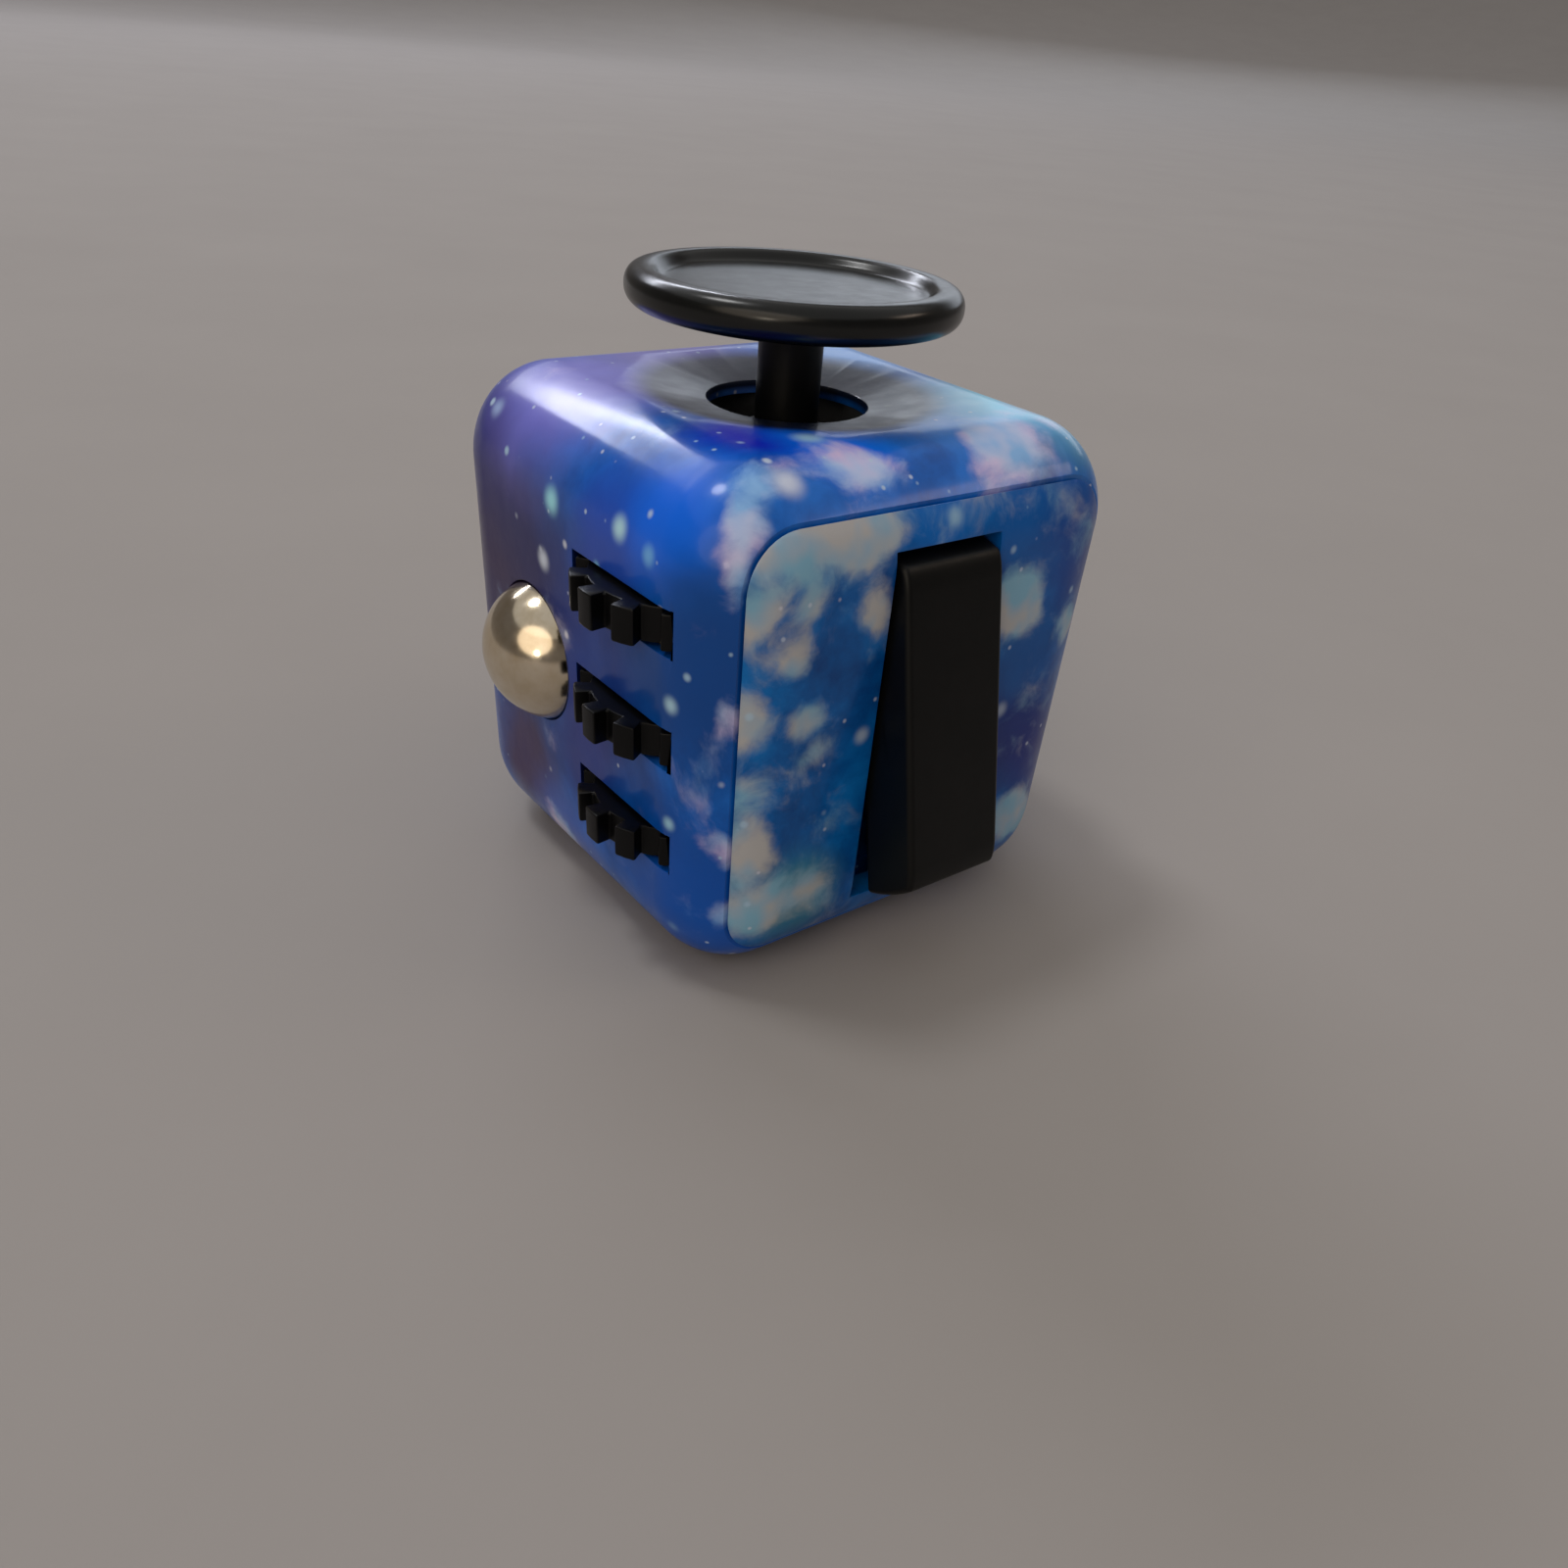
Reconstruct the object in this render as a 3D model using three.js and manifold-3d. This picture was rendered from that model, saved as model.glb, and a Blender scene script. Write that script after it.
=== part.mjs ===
// Fidget cube: a rounded plastic cube with something to play with on every face.
// Joystick on top, flip rocker in front, three gears and a steel ball on the left,
// five buttons at the back, a spin dial on the right and a thumb dish underneath.
// Millimetres, +Z up. Everything is drawn about the middle of the cube, then lifted
// and shifted once, so that the origin is under the middle of the bounding box.

import * as THREE from 'three';
import { RoundedBoxGeometry } from 'three/addons/geometries/RoundedBoxGeometry.js';
import { mergeVertices } from 'three/addons/utils/BufferGeometryUtils.js';
import Module from 'manifold-3d';

// ---------------------------------------------------------------- driving sizes

const cubeSize = 33;
const half = cubeSize / 2;
const edgeRadius = 5.9;
const wall = 1.6;
const inside = half - wall;
const gap = 0.3;
const roundSteps = 32;

// The front and rear covers part from the four-walled shell on the rounded edge.
const coverDepth = 1.1;
const coverSeam = 0.15;
const plugDepth = 1.1;
const openingHalf = 12.9;
const openingRadius = 2.6;

// Joystick: a wide disc on a stem, tilting about a gimbal below the top wall.
const discRadius = 10.35;
const discUnderside = 20.7;
const discTop = 22.75;
const discRimWidth = 1.9;
const discDishDepth = 0.6;
const stemRadius = 2.05;
const stickHoleRadius = 5.2;
const stickDishRadius = 10.3;
const stickDishDepth = 0.5;
const stickPivotZ = 7;
const stickDomeRadius = 7.7;
const stickDomeThickness = 0.8;
const stickDomeReach = THREE.MathUtils.degToRad(50);

// Flip rocker: a flat-faced paddle that rests with its lower end out.
const rockerPivotY = -13.5;
const rockerReach = 11.6;
const rockerFront = 6.07;
const rockerBack = 1.5;
const rockerCorner = 1.5;
const rockerWidth = 7.8;
const rockerRestAngle = THREE.MathUtils.degToRad(-13.4);
const rockerSlotWidth = 8.3;
const rockerSlotHeight = 23.8;
const rockerHubRadius = 2.4;
const rockerPinRadius = 0.8;

// Gears: three toothed wheels on one upright shaft.
const gearAxisX = -12.4;
const gearAxisY = -6.6;
const gearTipRadius = 6.4;
const gearRootRadius = 5.4;
const gearTeeth = 13;
const gearThickness = 2.2;
const gearSlotHeight = 2.7;
const gearSlotGrowth = 0.35;
const gearPitchZ = 7.25;
const gearBankZ = 0.5;
const gearShaftRadius = 1;
const gearShaftLow = -10;
const gearShaftHigh = 10.9;
const gearRibThickness = 1.2;
const gearRibReach = 2;
const gearSpacerRadius = 2;

// Ball: a 3/8 inch steel ball that rolls in a cup and presses in.
const ballRadius = 4.76;
const ballX = -15.1;
const ballY = 4.6;
const ballZ = 0.25;
const ballHoleMouth = 4.65;
const ballHoleInner = 4.95;
const ballHousingRadius = 5.6;
const ballHousingBore = 5.05;
const ballCupRadius = 4.2;

// Buttons: five, set out like the spots of a die.
const buttonRadius = 3.7;
const buttonSpread = 7.8;
const buttonStandOut = 1.7;
const buttonHoleRadius = 3.95;
const buttonFlangeRadius = 4.6;
const boardHalf = 12;
const boardFront = 11.5;
const boardThickness = 1;

// Dial: a scalloped knob that spins on an axle through the right wall.
const dialRadius = 10;
const dialStandOut = 3;
const dialRecessDepth = 0.8;
const dialRecessGap = 0.4;
const dialScallops = 20;
const dialScallopRadius = 1.1;
const dialAxleRadius = 2.3;
const dialDishRadius = 7.2;

// Thumb dish under the cube.
const dishRadius = 9.5;
const dishDepth = 1.5;
const dishFloorRadius = 11;
const dishSteps = 5;

// Half the difference between how far the rocker and the buttons stand out.
const frameShiftY = 1.66;

// ---------------------------------------------------------------- materials

function plastic(color, roughness = 0.45) {
  return new THREE.MeshStandardMaterial({ color, roughness, metalness: 0 });
}

function metal(color, roughness = 0.25) {
  return new THREE.MeshStandardMaterial({ color, roughness, metalness: 1 });
}

const printedBlue = 0x2a4fa8;
const blackPlastic = 0x141416;
const greyPlastic = 0x55585c;
const whiteRubber = 0xd8d8d2;
const steel = 0xc9c6bf;
const boardGreen = 0x2c5a3c;

// ---------------------------------------------------------------- solid helpers

const wasm = await Module();
wasm.setup();

// A closed geometry with its shared vertices merged, as a solid that can be cut.
function solid(geometry) {
  const bare = geometry.clone();
  bare.deleteAttribute('normal');
  bare.deleteAttribute('uv');
  const merged = mergeVertices(bare, 1e-4);
  const index = merged.index.array;
  const triangles = [];
  for (let i = 0; i < index.length; i += 3) {
    const [a, b, c] = [index[i], index[i + 1], index[i + 2]];
    if (a !== b && b !== c && c !== a) {
      triangles.push(a, b, c);
    }
  }
  const mesh = new wasm.Mesh({
    numProp: 3,
    vertProperties: new Float32Array(merged.attributes.position.array),
    triVerts: new Uint32Array(triangles),
  });
  return new wasm.Manifold(mesh);
}

const cube = new THREE.Group();

// Adds a finished solid to the cube as a named piece.
function addPiece(name, body, material, parent = cube) {
  const { vertProperties, triVerts } = body.getMesh();
  const geometry = new THREE.BufferGeometry();
  geometry.setAttribute('position', new THREE.BufferAttribute(vertProperties, 3));
  geometry.setIndex(new THREE.BufferAttribute(triVerts, 1));
  geometry.computeVertexNormals();
  const piece = new THREE.Mesh(geometry, material);
  piece.name = name;
  parent.add(piece);
  return piece;
}

function box(low, high) {
  const size = high.map((value, i) => value - low[i]);
  const middle = high.map((value, i) => (value + low[i]) / 2);
  return solid(new THREE.BoxGeometry(...size).translate(...middle));
}

function roundedBox(size, radius, steps) {
  return solid(new RoundedBoxGeometry(size, size, size, steps, radius));
}

// Turns a geometry drawn along +Z so that it lies along the given axis.
function layAlong(geometry, axis) {
  if (axis === 'x') {
    geometry.rotateY(Math.PI / 2);
  }
  if (axis === 'y') {
    geometry.rotateX(-Math.PI / 2);
  }
  return geometry;
}

// A body of revolution from [radius, height] points, with its axis through centre.
function turned(points, axis = 'z', centre = [0, 0, 0], steps = roundSteps) {
  const profile = points.map(([radius, height]) => new THREE.Vector2(radius, height));
  const geometry = new THREE.LatheGeometry(profile, steps).rotateX(Math.PI / 2);
  return solid(layAlong(geometry, axis).translate(...centre));
}

// A rod between two stations on its axis.
function rod(radius, from, to, axis = 'z', centre = [0, 0, 0], steps = roundSteps) {
  return turned([[0, from], [radius, from], [radius, to], [0, to]], axis, centre, steps);
}

function tube(outer, inner, from, to, axis = 'z', centre = [0, 0, 0], steps = roundSteps) {
  const profile = [[inner, from], [outer, from], [outer, to], [inner, to], [inner, from]];
  return turned(profile, axis, centre, steps);
}

function ball(radius, centre, steps = 32) {
  return solid(new THREE.SphereGeometry(radius, steps, steps / 2).translate(...centre));
}

function union(bodies) {
  return bodies.reduce((whole, body) => whole.add(body));
}

function without(body, cuts) {
  return cuts.reduce((left, cut) => left.subtract(cut), body);
}

class Helix extends THREE.Curve {
  constructor(radius, from, to, turns) {
    super();
    Object.assign(this, { radius, from, to, turns });
  }

  getPoint(t, target = new THREE.Vector3()) {
    const angle = t * this.turns * 2 * Math.PI;
    const height = this.from + t * (this.to - this.from);
    return target.set(this.radius * Math.cos(angle), this.radius * Math.sin(angle), height);
  }
}

// A coil spring between two stations on its axis.
function coilSpring(radius, wireRadius, from, to, turns, axis = 'z', centre = [0, 0, 0]) {
  const section = new THREE.Shape();
  section.absarc(0, 0, wireRadius, 0, 2 * Math.PI);
  const path = new Helix(radius, from + wireRadius, to - wireRadius, turns);
  const stepsPerTurn = 12;
  const options = { extrudePath: path, steps: Math.round(turns * stepsPerTurn), curveSegments: 3 };
  const geometry = new THREE.ExtrudeGeometry(section, { ...options, bevelEnabled: false });
  return solid(layAlong(geometry, axis).translate(...centre));
}

// A small pan-head screw pointing up its axis, with a cross recess left plain.
function screw(headRadius, shankRadius, headFrom, headTo, tip, axis, centre) {
  const profile = [
    [0, headFrom],
    [headRadius * 0.8, headFrom],
    [headRadius, (headFrom + headTo) / 2],
    [headRadius, headTo],
    [shankRadius, headTo],
    [shankRadius, tip],
    [0, tip],
  ];
  const ordered = tip > headFrom ? profile : profile.reverse();
  return turned(ordered, axis, centre, 12);
}

// ---------------------------------------------------------------- shell

// A square prism with rounded corners, lying along Y.
function squarePlug(halfWidth, radius, from, to) {
  const shape = new THREE.Shape();
  const flat = halfWidth - radius;
  const corners = [[1, 1, 0], [-1, 1, 1], [-1, -1, 2], [1, -1, 3]];
  for (const [sideX, sideZ, quarter] of corners) {
    const start = quarter * Math.PI / 2;
    shape.absarc(sideX * flat, sideZ * flat, radius, start, start + Math.PI / 2);
  }
  const options = { depth: to - from, bevelEnabled: false, curveSegments: 5 };
  const geometry = new THREE.ExtrudeGeometry(shape, options);
  return solid(geometry.translate(0, 0, from).rotateX(-Math.PI / 2));
}

const gearHeights = [1, 0, -1].map((step) => gearBankZ + step * gearPitchZ);

// The slot that a gear stands out of is the gear's own circle, grown by the gap.
function gearSlot(z, growth) {
  const height = gearSlotHeight / 2;
  return rod(gearTipRadius + growth, z - height, z + height, 'z', [gearAxisX, gearAxisY, 0]);
}

function gearRib(z) {
  const low = [-inside - gap, gearAxisY - gearRibReach, z - gearRibThickness / 2];
  const high = [gearAxisX + gearRibReach, gearAxisY + gearRibReach, z + gearRibThickness / 2];
  return box(low, high);
}

const gearRibHeights = [
  gearHeights[0] + gearThickness / 2 + gap + gearRibThickness / 2,
  gearHeights[2] - gearThickness / 2 - gap - gearRibThickness / 2,
];

const housingBossReach = 8;
const housingBossRadius = 2;
const housingBossSigns = [[1, 1], [-1, 1], [-1, -1], [1, -1]];
const screwHoleRadius = 0.95;
const screwShankRadius = 0.7;
const screwHeadRadius = 1.4;
const housingBossLow = 12.6;
const detentPostX = 12.4;
const detentPostZ = 5.2;
const detentPostReach = 3.9;
const detentPostWidth = 1.4;
const detentPostHeight = 1.8;

function mainShell() {
  const outer = roundedBox(cubeSize, edgeRadius, 3);
  const hollow = roundedBox(inside * 2, edgeRadius - wall, 2);
  const walls = without(outer, [
    hollow,
    squarePlug(openingHalf, openingRadius, -cubeSize, cubeSize),
  ]);
  const endPlane = half - coverDepth - coverSeam / 2;
  const trimmed = walls.intersect(box([-half, -endPlane, -half], [half, endPlane, half]));
  const grown = [trimmed];
  for (const z of gearRibHeights) {
    grown.push(gearRib(z));
  }
  for (const [sideX, sideY] of housingBossSigns) {
    const place = [sideX * housingBossReach, sideY * housingBossReach, 0];
    grown.push(rod(housingBossRadius, housingBossLow, inside + gap, 'z', place, 16));
  }
  for (const side of [-1, 1]) {
    const y = side * detentPostReach;
    const low = [detentPostX, y - detentPostWidth / 2, detentPostZ];
    const high = [inside + gap, y + detentPostWidth / 2, detentPostZ + detentPostHeight];
    grown.push(box(low, high));
  }
  grown.push(rod(dishFloorRadius, -inside - gap, -inside + dishDepth - gap, 'z'));
  const dishSphere = (dishRadius ** 2 + dishDepth ** 2) / (2 * dishDepth);
  const dishProfile = [];
  for (let i = 0; i <= dishSteps; i += 1) {
    const radius = dishRadius * (1 - i / dishSteps);
    const rise = Math.sqrt(dishSphere ** 2 - radius ** 2) - (dishSphere - dishDepth);
    dishProfile.push([radius, -half + rise]);
  }
  const dish = turned([[0, -half - 1], [dishRadius, -half - 1], ...dishProfile], 'z');
  const ballHole = turned(
    [[0, -half - 0.5], [ballHoleMouth, -half - 0.5], [ballHoleMouth, -half],
      [ballHoleInner, -inside], [ballHoleInner, -inside + 0.5], [0, -inside + 0.5]],
    'x',
    [0, ballY, ballZ],
  );
  const shaftHole = rod(gearShaftRadius + gap, gearShaftLow - 2, gearShaftHigh + 2, 'z',
    [gearAxisX, gearAxisY, 0], 24);
  const cuts = [
    dish,
    ballHole,
    shaftHole,
    rod(stickHoleRadius, inside - 1, half + 1, 'z'),
    rod(stickDishRadius, half - stickDishDepth, half + 1, 'z'),
    rod(dialAxleRadius + gap, inside - 1, half + 1, 'x'),
    rod(dialRadius + dialRecessGap, half - dialRecessDepth, half + 1, 'x'),
  ];
  for (const z of gearHeights) {
    cuts.push(gearSlot(z, gearSlotGrowth));
  }
  for (const [sideX, sideY] of housingBossSigns) {
    const place = [sideX * housingBossReach, sideY * housingBossReach, 0];
    cuts.push(rod(screwHoleRadius, housingBossLow - 1, inside, 'z', place, 12));
  }
  return without(union(grown), cuts);
}

// A cover before its own holes: the end of the rounded cube, and a plug behind it.
function coverBlank(side) {
  const seamPlane = half - coverDepth + coverSeam / 2;
  const end = roundedBox(cubeSize, edgeRadius, 3);
  const slab = side < 0
    ? box([-half, -half - 1, -half], [half, -seamPlane, half])
    : box([-half, seamPlane, -half], [half, half + 1, half]);
  const plugBack = seamPlane - plugDepth;
  const plug = side < 0
    ? squarePlug(openingHalf - gap, openingRadius - gap, -seamPlane - 0.2, -plugBack)
    : squarePlug(openingHalf - gap, openingRadius - gap, plugBack, seamPlane + 0.2);
  return end.intersect(slab).add(plug);
}

const coverBack = half - coverDepth + coverSeam / 2 - plugDepth;
const lugInner = 4.5;
const lugOuter = 5.7;
const lugHalfHeight = 1.8;
const lugReach = 1.5;

function switchCover() {
  const slotCut = box(
    [-rockerSlotWidth / 2, -half - 1, -rockerSlotHeight / 2],
    [rockerSlotWidth / 2, 0, rockerSlotHeight / 2],
  );
  const lugs = [-1, 1].map((side) => box(
    [side < 0 ? -lugOuter : lugInner, -coverBack - gap, -lugHalfHeight],
    [side < 0 ? -lugInner : lugOuter, rockerPivotY + lugReach, lugHalfHeight],
  ));
  const pinHole = rod(rockerPinRadius + gap, -7, 7, 'x', [0, rockerPivotY, 0], 20);
  const screwHoles = bracketScrewPlaces.map(([x, z]) => rod(
    screwHoleRadius, -coverBack - 1.2, -coverBack + 1, 'y', [x, 0, z], 12));
  return without(union([coverBlank(-1), ...lugs]), [slotCut, pinHole, ...screwHoles]);
}

const buttonPlaces = [
  [buttonSpread, buttonSpread],
  [-buttonSpread, buttonSpread],
  [-buttonSpread, -buttonSpread],
  [buttonSpread, -buttonSpread],
  [0, 0],
];
const boardPostPlaces = [[0, 10.3], [0, -10.3], [10.3, 0]];
const boardPostRadius = 1.7;

function buttonCover() {
  const posts = boardPostPlaces.map(([x, z]) => rod(
    boardPostRadius, boardFront + gap, coverBack + gap, 'y', [x, 0, z], 24));
  const cuts = buttonPlaces.map(([x, z]) => rod(
    buttonHoleRadius, coverBack - 1, half + 1, 'y', [x, 0, z]));
  for (const [x, z] of boardPostPlaces) {
    cuts.push(rod(screwHoleRadius, boardFront, coverBack + 0.9, 'y', [x, 0, z], 12));
  }
  return without(union([coverBlank(1), ...posts]), cuts);
}

// ---------------------------------------------------------------- joystick

function joystickDisc() {
  const edge = 0.7;
  const slope = 0.4;
  const rimInner = discRadius - discRimWidth;
  const top = discTop;
  const floor = discTop - discDishDepth;
  const profile = [
    [0, discUnderside],
    [discRadius - edge, discUnderside],
    [discRadius - 0.3 * edge, discUnderside + 0.3 * edge],
    [discRadius, discUnderside + edge],
    [discRadius, top - edge],
    [discRadius - 0.3 * edge, top - 0.3 * edge],
    [discRadius - edge, top],
    [rimInner + slope, top],
    [rimInner, floor],
    [0, floor],
  ];
  const socket = rod(spigotRadius + 0.15, discUnderside - 1, spigotTop + 0.15, 'z', [0, 0, 0], 24);
  return without(turned(profile), [socket]);
}

const spigotRadius = 1.3;
const spigotTop = 21.6;

// The stem and, moulded with it, the dome that keeps the hole closed as it tilts.
function joystickStem() {
  const foot = 1.6;
  const footZ = stickPivotZ - 2;
  const shoulder = discUnderside - 0.15;
  const stem = turned([
    [0, footZ], [foot, footZ], [stemRadius, footZ + 0.6], [stemRadius, shoulder],
    [spigotRadius, shoulder], [spigotRadius, spigotTop], [0, spigotTop],
  ]);
  const domeSteps = 4;
  const inner = stickDomeRadius - stickDomeThickness;
  const profile = [];
  for (let i = 0; i <= domeSteps; i += 1) {
    const angle = stickDomeReach * (i / domeSteps);
    profile.push([inner * Math.sin(angle), stickPivotZ + inner * Math.cos(angle)]);
  }
  for (let i = 0; i <= domeSteps; i += 1) {
    const angle = stickDomeReach * (1 - i / domeSteps);
    profile.push([stickDomeRadius * Math.sin(angle), stickPivotZ + stickDomeRadius * Math.cos(angle)]);
  }
  const bore = rod(crossPinRadius + 0.15, -5, 5, 'y', [0, 0, stickPivotZ], 20);
  return without(stem.add(turned(profile)), [bore]);
}

const crossPinRadius = 0.6;
const gimbalInner = 2.9;
const gimbalOuter = 4.2;
const gimbalHeight = 1.7;

function gimbalRing() {
  const centre = [0, 0, stickPivotZ];
  const ring = tube(gimbalOuter, gimbalInner, -gimbalHeight / 2, gimbalHeight / 2, 'z', centre, 32);
  const trunnions = rod(crossPinRadius, -5.3, 5.3, 'x', centre, 20);
  const throat = rod(gimbalInner + 0.05, -2, 2, 'z', centre, 32);
  const pinBore = rod(crossPinRadius + 0.15, -5, 5, 'y', centre, 20);
  return without(ring.add(without(trunnions, [throat])), [pinBore]);
}

const housingTop = inside - gap;
const housingFloor = 9.15;
const housingBottom = -3;
const housingOuter = 8.9;
const cageOuter = 5.6;
const cageInner = 4.65;

function joystickHousing() {
  const floorTop = housingFloor + 0.6;
  const body = turned([
    [0, housingBottom], [cageOuter, housingBottom], [cageOuter, housingFloor],
    [housingOuter, housingFloor], [housingOuter, housingTop],
    [stickDomeRadius + gap, housingTop], [stickDomeRadius + gap, floorTop],
    [cageInner, floorTop], [cageInner, housingBottom + 0.8], [0, housingBottom + 0.8],
  ]);
  const earTop = housingBossLow - gap;
  const ears = housingBossSigns.map(([sideX, sideY]) => {
    const place = [sideX * housingBossReach, sideY * housingBossReach, 0];
    const pad = rod(2, earTop - 1.2, earTop, 'z', place, 16);
    const arm = box([-1.3, 0, earTop - 1.2], [1.3, housingBossReach * Math.SQRT2, earTop]);
    const heading = THREE.MathUtils.radToDeg(Math.atan2(-sideX, sideY));
    return pad.add(arm.rotate([0, 0, heading]));
  });
  const bowl = rod(stickDomeRadius + gap, housingFloor + 1, housingTop + 1, 'z');
  const trunnionSlot = box([-6, -0.9, stickPivotZ], [6, 0.9, floorTop + 0.1])
    .add(rod(0.9, -6, 6, 'x', [0, 0, stickPivotZ], 20));
  const screwHoles = housingBossSigns.map(([sideX, sideY]) => rod(
    screwHoleRadius, 5, housingTop, 'z',
    [sideX * housingBossReach, sideY * housingBossReach, 0], 20));
  return without(body.add(without(union(ears), [bowl])), [trunnionSlot, ...screwHoles]);
}

function addJoystick() {
  addPiece('joystick_disc', joystickDisc(), plastic(blackPlastic, 0.25));
  addPiece('joystick_stem', joystickStem(), plastic(blackPlastic));
  const pinPlace = [0, 0, stickPivotZ];
  addPiece('joystick_cross_pin', rod(crossPinRadius, -3.9, 3.9, 'y', pinPlace, 20), metal(steel));
  addPiece('gimbal_ring', gimbalRing(), plastic(greyPlastic));
  addPiece('joystick_housing', joystickHousing(), plastic(greyPlastic));
  const followerTop = stickPivotZ - 2 - 0.5;
  addPiece('joystick_follower', rod(3.9, followerTop - 0.9, followerTop, 'z', [0, 0, 0], 32),
    plastic(greyPlastic));
  const springLow = housingBottom + 0.8 + 0.15;
  addPiece('joystick_spring', coilSpring(3.2, 0.35, springLow, followerTop - 1.05, 5),
    metal(steel));
  housingBossSigns.forEach(([sideX, sideY], i) => {
    const place = [sideX * housingBossReach, sideY * housingBossReach, 0];
    const earUnder = housingBossLow - gap - 1.2;
    const body = screw(screwHeadRadius, screwShankRadius, earUnder - 1, earUnder - 0.15,
      inside - 0.4, 'z', place);
    addPiece(`housing_screw_${i + 1}`, body, metal(steel));
  });
}

// ---------------------------------------------------------------- flip rocker

const bracketScrewPlaces = [[-7.2, 3.8], [7.2, -3.8]];
const plungerBoreRadius = 1.25;

// Side outline about the pivot: u points out of the face and v points up.
function rockerOutline() {
  const centreU = rockerFront - rockerCorner;
  const centreV = Math.sqrt((rockerReach - rockerCorner) ** 2 - centreU ** 2);
  const cornerAngle = Math.atan2(centreV, centreU);
  const backAngle = Math.acos(rockerBack / rockerReach);
  const outline = new THREE.Shape();
  outline.absarc(0, 0, rockerReach, -backAngle, -cornerAngle);
  outline.absarc(centreU, -centreV, rockerCorner, -cornerAngle, 0);
  outline.absarc(centreU, centreV, rockerCorner, 0, cornerAngle);
  outline.absarc(0, 0, rockerReach, cornerAngle, backAngle);
  const arcSteps = 4;
  const points = outline.getPoints(arcSteps);
  const distinct = points.filter((point, i) => i === 0 || point.distanceTo(points[i - 1]) > 0.01);
  return new THREE.Shape(distinct);
}

function flipRocker() {
  const options = { depth: rockerWidth, bevelEnabled: false };
  const blade = new THREE.ExtrudeGeometry(rockerOutline(), options);
  const outward = new THREE.Vector3(0, -1, 0);
  const up = new THREE.Vector3(0, 0, 1);
  const across = new THREE.Vector3(-1, 0, 0);
  blade.translate(0, 0, -options.depth / 2);
  blade.applyMatrix4(new THREE.Matrix4().makeBasis(outward, up, across));
  const hub = rod(rockerHubRadius, -rockerWidth / 2 + 0.4, rockerWidth / 2 - 0.4, 'x', [0, 0, 0], 32);
  const pinBores = [-1, 1].map((side) => rod(
    rockerPinRadius + gap, side < 0 ? -5 : 2, side < 0 ? -2 : 5, 'x', [0, 0, 0], 20));
  const plungerBore = rod(plungerBoreRadius, -3, 4, 'y', [0, 0, 0], 24);
  return without(solid(blade).add(hub), [...pinBores, plungerBore]);
}

function detentBracket() {
  const plateFront = rockerPivotY + 4.1;
  const plateBack = plateFront + 0.8;
  const footBack = -coverBack + gap;
  const parts = [box([-5.6, plateFront, -3.4], [5.6, plateBack, 3.4])];
  for (const sideX of [-1, 1]) {
    for (const sideZ of [-1, 1]) {
      const [x0, x1] = sideX < 0 ? [-5.6, -4.9] : [4.9, 5.6];
      const [z0, z1] = sideZ < 0 ? [-3.4, -2.2] : [2.2, 3.4];
      parts.push(box([x0, footBack, z0], [x1, plateFront + 0.4, z1]));
    }
  }
  for (const [x, z] of bracketScrewPlaces) {
    const side = Math.sign(x);
    const [x0, x1] = side < 0 ? [x - 1.6, -4.9] : [4.9, x + 1.6];
    parts.push(box([x0, footBack, z - 1.6], [x1, footBack + 0.9, z + 1.6]));
  }
  parts.push(rod(0.6, -1.6, 1.6, 'x', [0, plateFront + 0.3, 0], 16));
  const holes = bracketScrewPlaces.map(([x, z]) => rod(
    screwHoleRadius, footBack - 1, footBack + 2, 'y', [x, 0, z], 12));
  return without(union(parts), holes);
}

function addRocker() {
  const turning = new THREE.Group();
  turning.position.set(0, rockerPivotY, 0);
  turning.rotation.x = rockerRestAngle;
  cube.add(turning);
  addPiece('flip_rocker', flipRocker(), plastic(blackPlastic, 0.4), turning);
  const plunger = turned([
    [0, 0.9], [0.95, 0.9], [0.95, 3], [0.75, 3.4], [0.4, 3.65], [0, 3.7],
  ], 'y', [0, 0, 0], 20);
  addPiece('rocker_plunger', plunger, plastic(greyPlastic), turning);
  addPiece('rocker_spring', coilSpring(0.75, 0.15, -2.8, 0.75, 6, 'y'), metal(steel), turning);
  for (const [name, from, to] of [['left', -5.9, -2.3], ['right', 2.3, 5.9]]) {
    const pin = rod(rockerPinRadius, from, to, 'x', [0, rockerPivotY, 0], 20);
    addPiece(`rocker_pin_${name}`, pin, metal(steel));
  }
  addPiece('rocker_detent_bracket', detentBracket(), plastic(greyPlastic));
  bracketScrewPlaces.forEach(([x, z], i) => {
    const seat = -coverBack + gap + 0.9 + 0.15;
    const body = screw(1.2, screwShankRadius, seat + 0.8, seat, -coverBack - 0.9, 'y', [x, 0, z]);
    addPiece(`bracket_screw_${i + 1}`, body, metal(steel));
  });
}

// ---------------------------------------------------------------- gears and ball

function gear(z) {
  const outline = new THREE.Shape();
  const pitch = 2 * Math.PI / gearTeeth;
  const toothCorners = [
    [gearRootRadius, -0.36], [gearTipRadius, -0.25], [gearTipRadius, 0], [gearTipRadius, 0.25],
    [gearRootRadius, 0.36],
  ];
  const points = [];
  for (let tooth = 0; tooth < gearTeeth; tooth += 1) {
    for (const [radius, offset] of toothCorners) {
      const angle = (tooth + offset) * pitch;
      points.push(new THREE.Vector2(radius * Math.cos(angle), radius * Math.sin(angle)));
    }
  }
  outline.setFromPoints(points);
  const options = { depth: gearThickness, bevelEnabled: false };
  const blank = new THREE.ExtrudeGeometry(outline, options);
  blank.translate(gearAxisX, gearAxisY, z - gearThickness / 2);
  const bore = rod(gearShaftRadius + gap, z - 2, z + 2, 'z', [gearAxisX, gearAxisY, 0], 24);
  return without(solid(blank), [bore]);
}

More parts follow.
